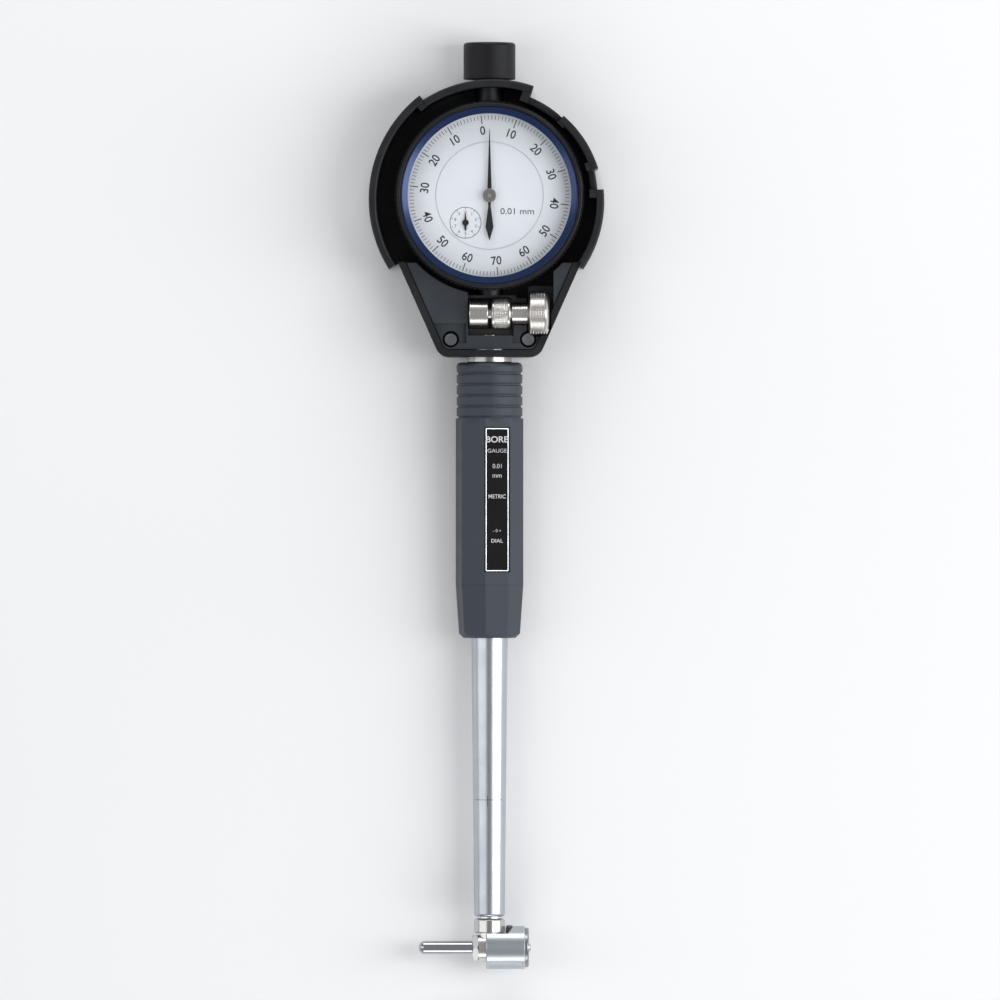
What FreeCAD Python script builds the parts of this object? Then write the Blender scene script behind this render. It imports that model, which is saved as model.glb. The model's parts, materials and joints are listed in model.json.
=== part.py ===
import FreeCAD, Part
import math
import os

# Dial bore gauge, in millimetres, lying on its back as it rests on a bench.
# X runs along the measuring line, with the contact on the +X side and the anvil on the -X side.
# Y runs along the instrument, from the measuring head towards the dust cap.
# Z is the dial's normal. The origin is on the guard's back, straight behind the dial's centre.

# Travels and fits
contact_travel = 1.2
guide_travel = 1.0
fit_clearance = 0.02
small_edge = 0.2
medium_edge = 0.3
large_edge = 0.5

# Indicator bezel and dial
bezel_radius = 28.5
bezel_knurl_depth = 0.4
bezel_knurl_count = 120
bezel_knurl_height = 4.4
bezel_skirt_wall = 2.0
bezel_skirt_clearance = 0.1
bezel_skirt_length = 2.7
bezel_skirt_edge = 0.6
bezel_rim_step = 0.6
bezel_rim_wall = 1.2
bezel_rim_height = 1.15
bezel_rim_edge = 0.45
bezel_groove_drop = 1.9
bezel_groove_height = 0.8
retaining_ring_section = 0.55
crystal_ledge = 1.1
crystal_lip = 0.9
crystal_thickness = 0.9
gasket_thickness = 0.35
gasket_gap = 0.1
hub_crystal_gap = 1.3
trim_width = 2.2
trim_height = 0.8
trim_flat = 0.5
dial_case_gap = 0.25
dial_thickness = 0.5
dial_edge_clearance = 0.05
dial_hole_radius = 1.2
dial_joint_radius = 16.2
dial_joint_gap = 0.12
counter_hole_radius = 0.8

# Indicator case
case_wall = 1.6
case_rest_gap = 0.4
case_ledge_width = 2.5
case_ledge_height = 1.8
case_front_margin = 0.9
cover_thickness = 1.2
cover_edge = 0.4
stem_radius = 4.0
stem_root = 1.1
stem_end_gap = 0.4
stem_bore_radius = 2.9
stem_bush_length = 8.0
top_boss_radius = 4.4
top_boss_root = 0.2
top_bush_length = 7.0
dust_cap_radius = 7.8
dust_cap_gap = 0.2
dust_cap_seat_length = 2.6
dust_cap_rise = 8.5
dust_cap_bore_radius = 3.3
dust_cap_wall = 1.6
dust_cap_edge_radius = 1.0
cover_screw_count = 4
cover_screw_turn = 30.0
cover_screw_inset = 2.0
cover_screw_radius = 0.7
cover_screw_head_radius = 1.1
cover_screw_head_height = 0.6
cover_screw_length = 1.6
cover_screw_slot_width = 0.3
cover_screw_slot_depth = 0.3

# Indicator movement
spindle_radius = 2.0
spindle_room = 1.75
spindle_rise = 0.7
spindle_reach = 1.6
spindle_collar_radius = 3.0
spindle_collar_thickness = 0.5
spindle_contact_radius = 2.3
spindle_contact_length = 5.0
spindle_contact_cone = 2.2
spindle_spigot_radius = 0.92
spindle_spigot_length = 2.5
bush_running_clearance = 0.04
rack_pitch = 0.625
rack_teeth = 22
rack_tooth_height = 0.42
rack_bottom_y = -17.5
pinion_teeth = 16
pinion_thickness = 2.0
wheel_teeth = 100
wheel_thickness = 0.5
wheel_wall_gap = 2.85
wheel_plate_gap = 0.5
tooth_addendum = 0.75
tooth_dedendum = 1.2
centre_pinion_teeth = 14
centre_pinion_overlap = 0.4
counter_pinion_teeth = 25
counter_wheel_teeth = 35
counter_wheel_thickness = 0.5
counter_plate_gap = 0.6
counter_module = 0.17
counter_angle = 146.0
arbor_radius = 0.6
arbor_end_play = 0.1
pivot_radius = 0.35
pivot_clearance = 0.03
rear_plate_thickness = 1.0
front_plate_thickness = 1.0
movement_plate_clearance = 0.3
bridge_clearance = 0.35
bridge_thickness = 0.4
bridge_width = 4.0
bridge_half_length = 8.5
bridge_corner = 1.0
bridge_pinion_gap = 0.2
pillar_radius = 1.5
pillar_inset = 3.4
pillar_count = 4
movement_screw_radius = 0.8
movement_screw_head_radius = 1.3
movement_screw_head_height = 0.5
movement_screw_edge = 0.1
hairspring_turns = 5
hairspring_pitch = 0.7
hairspring_start_radius = 1.6
hairspring_thickness = 0.12
hairspring_height = 0.4
hairspring_gap = 0.6
pointer_dial_gap = 1.15
pointer_thickness = 0.2
pointer_length = 19.8
pointer_tail = 13.4
pointer_base_width = 1.4
pointer_spade_width = 2.4
pointer_spade_y = -9.4
pointer_neck_width = 0.7
pointer_tip_width = 0.16
pointer_eye_wall = 0.5
hub_radius = 2.07
hub_below_pointer = 0.5
hub_above_pointer = 0.9
hub_pin_sink = 0.3
counter_pointer_length = 2.9
counter_pointer_tail = 2.3
counter_hub_radius = 0.95
counter_pointer_gap = 0.15
guide_pin_radius = 0.8
guide_pin_y = 18.0
guide_pin_depth = 1.5
guide_pin_root = 0.4
guide_pin_clearance = 0.05
return_spring_wire = 0.45
return_spring_turns = 6
return_spring_gap = 0.7

# Guard
guard_back = 2.0
guard_wall = 2.4
guard_edge_radius = 0.7
guard_step_wall = 2.4
guard_step_edge = 0.5
guard_step_inset = 0.15
guard_step_drop = 0.3
guard_rim_drop = 1.4
guard_low_step = 4.8
guard_low_gap = 3.5
bezel_clearance = 1.3
rim_right_start = -38.0
rim_right_end = 3.0
rim_right_x = -1.0
rim_right_y = -1.9
rim_right_rise = 3.4
rim_notch_end = 14.0
rim_notch_rise = 0.4
rim_shoulder_end = 47.0
rim_shoulder_y = -2.0
rim_shoulder_rise = 2.1
rim_gap_end = 68.0
rim_top_end = 125.0
rim_top_x = 0.9
rim_top_y = -3.1
rim_top_rise = 5.9
rim_left_end = 216.0
rim_left_x = 3.2
rim_left_y = -1.2
rim_left_rise = 7.4

# Guard housing around the clamp
housing_shoulder = 8.5
housing_side_inset = 1.0
housing_wall = 2.1
housing_rim_step = 3.0
housing_corner_radius = 4.5
housing_end_gap = 0.3
plate_gap = 0.25
plate_recess = 0.5
plate_thickness = 2.0
plate_top_gap = 0.2
panel_leg_above = 8.3
panel_leg_below = 2.3
panel_leg_thickness = 1.6
boss_step = 1.5
boss_below_axis = 3.0
boss_inner_width = 4.7
boss_end_inset = 2.0
window_left_margin = 0.4
window_right_margin = 1.0
window_below_axis = 6.7
knob_window_margin = 1.2
knob_window_below = 2.7
spacer_window_gap = 0.3
screw_x = 11.6
screw_below_axis = 7.8
screw_side_wall = 3.3
screw_head_radius = 2.05
screw_head_height = 2.4
screw_head_sink = 4.0
screw_head_gap = 0.45
screw_shank_radius = 1.25
screw_thread_clearance = 0.1
screw_socket_flats = 2.0
screw_socket_turn = 30.0
screw_column_radius = 2.9
guard_boss_height = 2.0
screw_end_z = 0.9

# Clamp
stem_bore_clearance = 0.03
clamp_gap = 0.65
clamp_bite = 1.7
block_half_width = 8.0
block_above_axis = 5.4
block_below_axis = 10.7
block_top_drop = 1.9
block_ear_thickness = 4.0
saddle_wall = 1.2
saddle_end_inset = 0.4
cotter_left_radius = 4.35
cotter_right_radius = 4.85
cotter_left_x = -6.1
cotter_gap_left_x = -0.4
cotter_gap_right_x = 0.6
cotter_right_x = 6.3
cotter_edge = 0.35
cotter_clearance = 0.12
spacer_gap = 0.3
spacer_length = 5.0
spacer_radius = 3.3
knob_gap = 0.1
knob_length = 5.6
knob_crown = 0.7
knob_crown_radius = 3.63
knob_crown_edge = 1.5
knob_radius = 6.6
knob_clearance = 0.5
knob_cap_thickness = 1.0
clamp_screw_radius = 2.0
clamp_screw_clearance = 0.06

# Neck, grip and tube
neck_radius = 6.7
neck_length = 4.0
neck_spigot_radius = 5.4
neck_spigot_length = 4.2
neck_hole_clearance = 0.15
grip_taper_depth = 1.0
grip_corner_radius = 1.0
grip_turn = 14.0
grip_ribbed_length = 16.5
grip_body_length = 50.3
grip_taper_length = 15.9
grip_rib_rise = 0.35
grip_rib_count = 5
grip_rib_edge = 0.25
grip_groove_width = 0.9
grip_groove_depth = 0.45
grip_groove_edge = 0.1
grip_rib_overlap = 0.27
grip_edge_radius = 1.4
label_length = 43.2
label_side_margin = 0.25
label_thickness = 0.3
label_recess_depth = 0.4
label_border = 0.3
label_top_gap = 3.1
tube_radius = 5.45
tube_end_radius = 4.6
tube_bore_radius = 3.25
tube_length = 83.7
tube_edge_radius = 0.8
tube_joint_radius = 4.1
tube_joint_length = 10.0
tube_end_play = 0.2

# Push rod and its guides
rod_radius = 2.0
rod_pad_radius = 2.6
rod_pad_height = 1.8
rod_running_clearance = 0.05
rod_guide_length = 6.0
upper_guide_gap = 2.5
lower_guide_gap = 10.5
rod_collar_radius = 2.9
rod_collar_length = 2.0
rod_spring_length = 11.5
rod_spring_wire = 0.5
rod_spring_turns = 7
rod_foot_room = 1.5
foot_radius = 1.2
foot_spigot_radius = 0.8
foot_spigot_length = 4.0

# Measuring head
head_left_x = -3.3
head_right_x = 8.0
head_radius = 4.35
head_stem_radius = 3.7
head_stem_length = 7.9
head_stem_gap = 0.3
head_collar_gap = 0.5
head_collar_length = 4.4
head_collar_rise = 0.95
head_collar_chamfer = 0.9
plunger_radius = 1.9
plunger_tip_x = 0.2
plunger_end_gap = 0.2
ramp_x = 0.35
plunger_reach = 1.3
shoulder_radius = 2.6
shoulder_left_x = 3.0
shoulder_right_x = 4.5
shoulder_clearance = 0.1
bush_wall = 0.4
contact_tip_radius = 1.5
contact_tip_edge = 0.9
contact_tip_reach = 0.6
contact_tip_spigot_radius = 0.9
contact_tip_spigot_length = 2.5
guide_wall = 2.1
guide_left_x = -1.05
guide_right_x = 10.65
guide_flat_drop = 0.05
guide_collar_gap = 0.15
guide_shoulder_x = 5.5
guide_shoulder_run = 1.8
guide_slot_clearance = 0.12
end_ring_step = 0.55
end_ring_length = 1.15
end_ring_hole_radius = 1.8
end_ring_lip = 0.8
end_ring_lip_length = 1.25
guide_spring_wire = 0.45
guide_spring_turns = 2.5
key_pin_x = 6.0
key_pin_offset_z = -3.5
key_pin_head_radius = 1.2
key_pin_radius = 0.7
key_pin_head_height = 2.3
key_pin_depth = 2.9
anvil_radius = 2.05
anvil_length = 16.2
anvil_end_edge = 1.845
anvil_thread_radius = 1.5
anvil_thread_length = 1.9
nut_across_flats = 7.4
nut_thickness = 1.8
nut_chamfer = 0.5
nut_chamfer_height = 0.35

# Radii that follow from the bezel's
case_radius = bezel_radius - bezel_knurl_depth - bezel_skirt_wall - bezel_skirt_clearance
case_inner_radius = case_radius - case_wall
bezel_rim_radius = bezel_radius - bezel_rim_step
bezel_rim_inner_radius = bezel_rim_radius - bezel_rim_wall
crystal_radius = bezel_rim_inner_radius - crystal_ledge
bezel_lip_radius = crystal_radius - crystal_lip
trim_inner_radius = bezel_rim_inner_radius - trim_width
cover_screw_circle = case_radius - cover_screw_inset
pillar_circle = case_inner_radius - pillar_inset
movement_radius = case_inner_radius - movement_plate_clearance
movement_screw_circle = case_inner_radius - movement_screw_head_radius - movement_screw_edge
guard_low_radius = bezel_radius + guard_low_gap
guard_room_radius = bezel_radius + bezel_clearance
housing_top_half_width = bezel_radius - housing_side_inset
housing_bottom_half_width = screw_x + screw_side_wall

# Levels, from the guard's back up through the movement to the bezel
case_back_z = guard_back + case_rest_gap + cover_thickness
ledge_z = case_back_z + case_ledge_height
rear_plate_top_z = ledge_z + rear_plate_thickness
axis_z = rear_plate_top_z + spindle_room + spindle_radius
bridge_z = axis_z + spindle_radius + bridge_clearance
centre_pinion_z = bridge_z + bridge_thickness + bridge_pinion_gap
wheel_z = centre_pinion_z + centre_pinion_overlap
counter_wheel_z = wheel_z + wheel_thickness + wheel_plate_gap
front_plate_z = counter_wheel_z + counter_wheel_thickness + counter_plate_gap
front_plate_top_z = front_plate_z + front_plate_thickness
case_front_z = front_plate_top_z + case_front_margin
dial_bottom_z = case_front_z + dial_case_gap
dial_top_z = dial_bottom_z + dial_thickness
pointer_z = dial_top_z + pointer_dial_gap
pointer_top_z = pointer_z + pointer_thickness
hub_bottom_z = pointer_z - hub_below_pointer
hub_top_z = pointer_z + hub_above_pointer
crystal_seat_z = hub_top_z + hub_crystal_gap
crystal_bottom_z = crystal_seat_z + gasket_thickness
crystal_top_z = crystal_bottom_z + crystal_thickness
bezel_rim_z = crystal_top_z + bezel_rim_height
bezel_bottom_z = case_front_z - bezel_skirt_length
bezel_knurl_bottom_z = bezel_bottom_z + bezel_skirt_edge
bezel_knurl_top_z = bezel_knurl_bottom_z + bezel_knurl_height
bezel_groove_z = case_front_z - bezel_groove_drop
bezel_groove_top_z = bezel_groove_z + bezel_groove_height
guard_rim_z = bezel_rim_z - guard_rim_drop
guard_low_rim_z = guard_rim_z - guard_low_step
housing_rim_z = guard_rim_z - housing_rim_step
plate_top_z = housing_rim_z - plate_recess
plate_bottom_z = plate_top_z - plate_thickness
boss_level_z = plate_top_z - boss_step
screw_head_top_z = boss_level_z - screw_head_sink
screw_head_bottom_z = screw_head_top_z - screw_head_height
clamp_axis_z = axis_z + cotter_right_radius + stem_radius - clamp_bite
block_bottom_z = guard_back + guard_boss_height
block_top_z = clamp_axis_z - block_top_drop
ear_top_z = block_bottom_z + block_ear_thickness

# Stations along the instrument, from the dust cap down to the measuring head
rim_top_radius = guard_low_radius + rim_top_rise
dust_cap_bottom_y = rim_top_y + rim_top_radius + dust_cap_gap
top_boss_end_y = dust_cap_bottom_y + dust_cap_seat_length
dust_cap_top_y = top_boss_end_y + dust_cap_rise
dust_cap_inner_y = dust_cap_top_y - dust_cap_wall
spindle_top_y = top_boss_end_y + spindle_rise
stem_top_y = stem_root - case_radius
housing_top_y = housing_shoulder - bezel_radius
plate_top_y = housing_top_y - plate_top_gap
clamp_axis_y = -(guard_room_radius + clamp_gap + cotter_right_radius)
block_top_y = clamp_axis_y + block_above_axis
block_bottom_y = clamp_axis_y - block_below_axis
housing_bottom_y = block_bottom_y - housing_end_gap - housing_wall
panel_leg_top_y = clamp_axis_y + panel_leg_above
panel_leg_bottom_y = clamp_axis_y + panel_leg_below
boss_top_y = clamp_axis_y - boss_below_axis
window_bottom_y = clamp_axis_y - window_below_axis
knob_window_bottom_y = clamp_axis_y - knob_window_below
screw_y = clamp_axis_y - screw_below_axis
stem_end_y = block_bottom_y - stem_end_gap
spindle_contact_top_y = stem_end_y - spindle_reach
spindle_contact_end_y = spindle_contact_top_y - spindle_contact_length
rod_pad_top_y = spindle_contact_end_y - spindle_contact_cone
rod_top_y = rod_pad_top_y - rod_pad_height
neck_top_y = block_bottom_y
grip_top_y = neck_top_y - neck_length
grip_body_y = grip_top_y - grip_ribbed_length
grip_taper_y = grip_body_y - grip_body_length
grip_end_y = grip_taper_y - grip_taper_length
label_top_y = grip_body_y - label_top_gap
tube_joint_y = grip_top_y - tube_joint_length
tube_end_y = grip_end_y - tube_length
upper_guide_y = tube_joint_y - upper_guide_gap
rod_spring_top_y = upper_guide_y - rod_guide_length
rod_collar_top_y = rod_spring_top_y - rod_spring_length
rod_collar_y = rod_collar_top_y - rod_collar_length
head_stem_top_y = tube_end_y + head_stem_length
lower_guide_y = head_stem_top_y + lower_guide_gap
rod_bottom_y = head_stem_top_y + rod_foot_room
head_collar_top_y = tube_end_y - head_collar_gap
head_collar_bottom_y = head_collar_top_y - head_collar_length
guide_flat_height = head_radius - guide_flat_drop
head_axis_y = head_collar_bottom_y - guide_collar_gap - guide_flat_height

# The grip's lowest edge is level with the guard's back, so the gauge rests flat on both.
facet_half_angle = 22.5
edge_turn = facet_half_angle - grip_turn
corner_centre_radius = (axis_z - grip_corner_radius) / math.cos(math.radians(edge_turn))
grip_apothem = corner_centre_radius * math.cos(math.radians(facet_half_angle)) + grip_corner_radius
grip_end_apothem = grip_apothem - grip_taper_depth
grip_rib_radius = grip_apothem + grip_rib_rise
label_width = 2 * (grip_apothem * math.tan(math.radians(facet_half_angle)) - label_side_margin)

# Stations across the instrument
spacer_left_x = cotter_right_x + spacer_gap
spacer_right_x = spacer_left_x + spacer_length
knob_left_x = spacer_right_x + knob_gap
knob_right_x = knob_left_x + knob_length
knob_crown_x = knob_right_x + knob_crown
clamp_screw_end_x = knob_right_x - knob_cap_thickness
window_left_x = cotter_left_x - window_left_margin
window_right_x = cotter_right_x + window_right_margin
knob_window_right_x = knob_crown_x + knob_window_margin
boss_inner_x = screw_x - boss_inner_width
plunger_end_x = head_right_x + plunger_reach
end_ring_right_x = guide_right_x + end_ring_length
contact_tip_x = end_ring_right_x + contact_tip_reach
nut_left_x = head_left_x - nut_thickness
anvil_left_x = nut_left_x - anvil_length

# Radii of the pieces that fit in one another
screw_recess_radius = screw_head_radius + screw_head_gap
head_collar_radius = head_stem_radius + head_collar_rise
bush_radius = shoulder_radius + bush_wall
guide_bore_radius = head_radius + rod_running_clearance
guide_radius = guide_bore_radius + guide_wall
end_ring_radius = guide_radius - end_ring_step
key_pin_z = axis_z + key_pin_offset_z

# The wheel train: the two large wheels reach from the centre pinion almost to the case's wall
wheel_reach = (wheel_teeth + centre_pinion_teeth) / 2 + wheel_teeth / 2 + tooth_addendum
wheel_module = (case_inner_radius - wheel_wall_gap) / wheel_reach
pinion_radius = rack_pitch * pinion_teeth / (2 * math.pi)
rack_root_x = -(spindle_radius - 2 * rack_tooth_height)
arbor_x = rack_root_x - rack_tooth_height / 2 - pinion_radius
arbor_distance = wheel_module * (wheel_teeth + centre_pinion_teeth) / 2
arbor_y = -math.sqrt(arbor_distance**2 - arbor_x**2)
arbor_direction = math.degrees(math.atan2(arbor_y, arbor_x))
counter_distance = counter_module * (counter_pinion_teeth + counter_wheel_teeth) / 2
counter_x = arbor_x + counter_distance * math.cos(math.radians(counter_angle))
counter_y = arbor_y + counter_distance * math.sin(math.radians(counter_angle))

# The rod's ball foot sits on the plunger's 45-degree ramp
ramp_run = foot_radius * math.sqrt(2)
foot_centre_height = ramp_run - ramp_x + fit_clearance

x_axis = FreeCAD.Vector(1, 0, 0)
y_axis = FreeCAD.Vector(0, 1, 0)
z_axis = FreeCAD.Vector(0, 0, 1)
stem_axis = FreeCAD.Vector(0, 0, axis_z)
head_axis = FreeCAD.Vector(0, head_axis_y, axis_z)
clamp_axis = FreeCAD.Vector(0, clamp_axis_y, clamp_axis_z)
key_pin_axis = FreeCAD.Vector(key_pin_x, head_axis_y, key_pin_z)


def vector(x, y, z):
    return FreeCAD.Vector(x, y, z)


def outline(corners):
    """A closed outline through (x, y) or (x, y, radius) corners, with an arc of that radius at a corner."""
    edges = []
    starts = []
    ends = []
    middles = []
    count = len(corners)
    for index, corner in enumerate(corners):
        here = vector(corner[0], corner[1], 0)
        radius = corner[2] if len(corner) > 2 else 0
        before = corners[index - 1]
        after = corners[(index + 1) % count]
        back = (vector(before[0], before[1], 0) - here).normalize()
        ahead = (vector(after[0], after[1], 0) - here).normalize()
        half = back.getAngle(ahead) / 2
        if radius == 0 or half > math.radians(89.5):
            starts.append(here)
            ends.append(here)
            middles.append(None)
            continue
        reach = radius / math.tan(half)
        inward = (back + ahead).normalize()
        starts.append(here + back * reach)
        ends.append(here + ahead * reach)
        middles.append(here + inward * (radius / math.sin(half) - radius))
    for index in range(count):
        if middles[index] is not None:
            edges.append(Part.Arc(starts[index], middles[index], ends[index]).toShape())
        following = starts[(index + 1) % count]
        if ends[index].distanceToPoint(following) > 1e-6:
            edges.append(Part.makeLine(ends[index], following))
    return Part.Wire(edges)


def prism(corners, bottom, top):
    """A flat outline raised along Z."""
    face = Part.Face(outline(corners))
    face.translate(vector(0, 0, bottom))
    return face.extrude(vector(0, 0, top - bottom))


def disc(radius, bottom, top, x=0, y=0):
    return Part.makeCylinder(radius, top - bottom, vector(x, y, bottom))


def ring(outer, inner, bottom, top, x=0, y=0):
    return disc(outer, bottom, top, x, y).cut(disc(inner, bottom, top, x, y))


def turned(profile, at=FreeCAD.Vector(0, 0, 0), axis=FreeCAD.Vector(0, 0, 1)):
    """A turned piece: (station, radius) corners, each with an optional edge radius, about axis through at."""
    corners = [(corner[1], corner[0], *corner[2:]) for corner in profile]
    face = Part.Face(outline(corners))
    face.rotate(vector(0, 0, 0), vector(1, 0, 0), 90)
    solid = face.revolve(vector(0, 0, 0), vector(0, 0, 1), 360)
    if solid.Volume < 0:
        solid.reverse()
    solid.Placement = FreeCAD.Placement(at, FreeCAD.Rotation(vector(0, 0, 1), axis))
    return solid


def rod(radius, start, end, at, axis):
    """A cylinder along axis, from station start to station end, measured from the point at."""
    return Part.makeCylinder(radius, end - start, at + axis * start, axis)


def stem_rod(radius, start, end):
    return rod(radius, start, end, stem_axis, y_axis)


def stem_turned(profile):
    return turned(profile, stem_axis, y_axis)


def head_rod(radius, start, end):
    return rod(radius, start, end, head_axis, x_axis)


def head_turned(profile):
    return turned(profile, head_axis, x_axis)


def clamp_rod(radius, start, end):
    return rod(radius, start, end, clamp_axis, x_axis)


def clamp_turned(profile):
    return turned(profile, clamp_axis, x_axis)


def box(low, high):
    size = high - low
    return Part.makeBox(size.x, size.y, size.z, low)


def mirrored_box(side, near, far, bottom_y, top_y, low, high):
    """A box on the right (side 1) or the left (side -1) of the middle plane."""
    left, right = sorted((side * near, side * far))
    return box(vector(left, bottom_y, low), vector(right, top_y, high))


def polar(radius, angle, x=0, y=0):
    turn = math.radians(angle)
    return (x + radius * math.cos(turn), y + radius * math.sin(turn))


def toothed_disc(root, tip, count, bottom, top, x=0, y=0, root_share=0.62, tip_share=0.3, turn=0):
    """A wheel with straight-flanked teeth; the shares are the tooth's width at root and tip, in pitches."""
    corners = []
    pitch = 360 / count
    for index in range(count):
        middle = turn + pitch * index
        corners.append(polar(root, middle - pitch * root_share / 2, x, y))
        corners.append(polar(tip, middle - pitch * tip_share / 2, x, y))
        corners.append(polar(tip, middle + pitch * tip_share / 2, x, y))
        corners.append(polar(root, middle + pitch * root_share / 2, x, y))
    return prism(corners, bottom, top)


def coil(start, end, mean_radius, wire, turns, at, axis):
    """A helical spring of twelve-sided wire between two stations on an axis."""
    height = end - start - wire
    helix = Part.makeHelix(height / turns, height, mean_radius)
    corners = []
    for index in range(13):
        turn = math.radians(30 * index)
        corners.append(vector(mean_radius + wire / 2 * math.cos(turn), 0, wire / 2 * math.sin(turn)))
    section = Part.makePolygon(corners)
    spring = Part.Wire(helix).makePipeShell([section], True, True)
    base = at + axis * (start + wire / 2)
    spring.Placement = FreeCAD.Placement(base, FreeCAD.Rotation(vector(0, 0, 1), axis))
    return spring


def fused(shapes):
    return shapes[0].multiFuse(shapes[1:]).removeSplitter()


def without(shape, cuts):
    return shape.cut(Part.makeCompound(cuts))


def around(count, radius, first_angle):
    return [polar(radius, first_angle + 360 * index / count) for index in range(count)]


def hexagon(across_flats, turn=0):
    return [polar(across_flats / math.sqrt(3), turn + 60 * index) for index in range(6)]


def screw_places():
    return [(side * screw_x, screw_y) for side in (-1, 1)]


def clear_of_bezel(bottom, top):
    """The round room in the guard in which the bezel turns."""
    return disc(guard_room_radius, bottom, top)


# Guard


def guard_stretches():
    """The rim's stretches: start and end angle, the arc's own centre and radius, and the rim's height."""
    radius = guard_low_radius
    return [
        (rim_right_start, rim_right_end, rim_right_x, rim_right_y, radius + rim_right_rise, guard_rim_z),
        (rim_right_end, rim_notch_end, 0, 0, radius + rim_notch_rise, guard_low_rim_z),
        (rim_notch_end, rim_shoulder_end, 0, rim_shoulder_y, radius + rim_shoulder_rise, guard_rim_z),
        (rim_shoulder_end, rim_gap_end, 0, 0, radius, guard_low_rim_z),
        (rim_gap_end, rim_top_end, rim_top_x, rim_top_y, rim_top_radius, guard_rim_z),
        (rim_top_end, rim_left_end, rim_left_x, rim_left_y, radius + rim_left_rise, guard_rim_z),
    ]


def rim_stretch(start, end, x, y, radius, top):
    """One stretch of back and rim, turned about its own centre."""
    edge = guard_edge_radius
    profile = [
        (0, 0),
        (radius, 0, edge),
        (radius, top, edge),
        (radius - guard_wall, top, edge),
        (radius - guard_wall, guard_back),
        (0, guard_back),
    ]
    face = Part.Face(outline(profile))
    face.rotate(vector(0, 0, 0), vector(1, 0, 0), 90)
    face.rotate(vector(0, 0, 0), vector(0, 0, 1), start)
    face.translate(vector(x, y, 0))
    return face.revolve(vector(x, y, 0), vector(0, 0, 1), end - start)


def rim_reach(angle, x, y, radius):
    """How far from the dial's centre a stretch's arc lies, at an angle about the dial's centre."""
    direction = vector(*polar(1, angle), 0)
    centre = vector(x, y, 0)
    along = centre.dot(direction)
    return along + math.sqrt(along**2 - centre.dot(centre) + radius**2)


def own_angle(angle, x, y, radius):
    """The angle about a stretch's own centre of the rim point that lies at angle about the dial's centre."""
    point_x, point_y = polar(rim_reach(angle, x, y, radius), angle)
    return math.degrees(math.atan2(point_y - y, point_x - x)) % 360


def step_wall(angle, inner, outer, top):
    """The wall that closes the rim where one stretch steps to the next."""
    half = guard_step_wall / 2
    wall = prism([(inner, -half), (outer, -half), (outer, half, guard_step_edge), (inner, half)], 0, top)
    wall.rotate(vector(0, 0, 0), vector(0, 0, 1), angle)
    return wall


def rim_solids():
    solids = []
    stretches = guard_stretches()
    for start, end, x, y, radius, top in stretches:
        first = own_angle(start, x, y, radius)
        last = own_angle(end, x, y, radius)
        if last < first:
            first -= 360
        solids.append(rim_stretch(first, last, x, y, radius, top))
    half_step = math.degrees(guard_step_wall / 2 / guard_low_radius)
    for before, after in zip(stretches[:-1], stretches[1:]):
        angle = before[1]
        reach_before = rim_reach(angle, *before[2:5])
        reach_after = rim_reach(angle, *after[2:5])
        wall_in_before = before[5] > after[5] or reach_before > reach_after
        outer = reach_before if wall_in_before else reach_after
        top = before[5] if wall_in_before else after[5]
        turn = angle - half_step if wall_in_before else angle + half_step
        inner = min(reach_before, reach_after) - guard_wall
        solids.append(step_wall(turn, inner, outer - guard_step_inset, top - guard_step_drop))
    return solids


def housing_slope():
    """How much the housing's half width grows for each millimetre towards the dial."""
    return (housing_top_half_width - housing_bottom_half_width) / (housing_top_y - housing_bottom_y)


def housing_outline(inset, top_y):
    """The tapering housing below the dial, narrowed by inset on its sides and bottom."""
    slope = housing_slope()
    middle_line = housing_bottom_half_width - inset * math.sqrt(1 + slope**2)
    lower = middle_line + slope * inset
    upper = middle_line + slope * (top_y - housing_bottom_y)
    bottom = housing_bottom_y + inset
    corner = housing_corner_radius - inset
    return [(-lower, bottom, corner), (lower, bottom, corner), (upper, top_y), (-upper, top_y)]


def knob_room():
    """The space in which the clamp knob turns."""
    return clamp_rod(knob_radius + knob_clearance, knob_left_x - knob_clearance, knob_crown_x + knob_clearance)


def guard_shell():
    bowl = fused([disc(guard_low_radius, 0, guard_back), *rim_solids()])
    above_all = guard_rim_z + 1
    bowl = bowl.cut(prism(housing_outline(0, housing_top_y), guard_back, above_all))
    housing = prism(housing_outline(0, housing_top_y), 0, housing_rim_z)
    housing = housing.cut(prism(housing_outline(housing_wall, housing_top_y), guard_back, housing_rim_z))
    shell = fused([bowl, housing]).cut(clear_of_bezel(guard_back, above_all))
    bosses = [disc(screw_column_radius, guard_back, block_bottom_z, x, y) for x, y in screw_places()]
    shell = fused([shell, *bosses])
    cap_hole = stem_rod(top_boss_radius + neck_hole_clearance, 0, dust_cap_top_y)
    neck_hole = stem_rod(neck_radius + neck_hole_clearance, housing_bottom_y - housing_wall, block_bottom_y)
    thread_radius = screw_shank_radius + fit_clearance
    threads = [disc(thread_radius, screw_end_z, block_bottom_z, x, y) for x, y in screw_places()]
    return without(shell, [cap_hole, neck_hole, knob_room(), *threads])


def plate_outline():
    return housing_outline(housing_wall + plate_gap, plate_top_y)


def panel_leg():
    """The leg behind the knob that joins the panel beside it to the rest of the plate."""
    outer = housing_top_half_width
    leg_top_z = ear_top_z + panel_leg_thickness
    floor = box(vector(screw_x, screw_y, ear_top_z), vector(outer, panel_leg_top_y, leg_top_z))
    wall = box(
        vector(knob_window_right_x, panel_leg_bottom_y, ear_top_z),
        vector(outer, panel_leg_top_y, plate_bottom_z),
    )
    within = prism(plate_outline(), ear_top_z, plate_bottom_z)
    return fused([floor, wall]).common(within).cut(clear_of_bezel(ear_top_z, plate_bottom_z))


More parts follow.
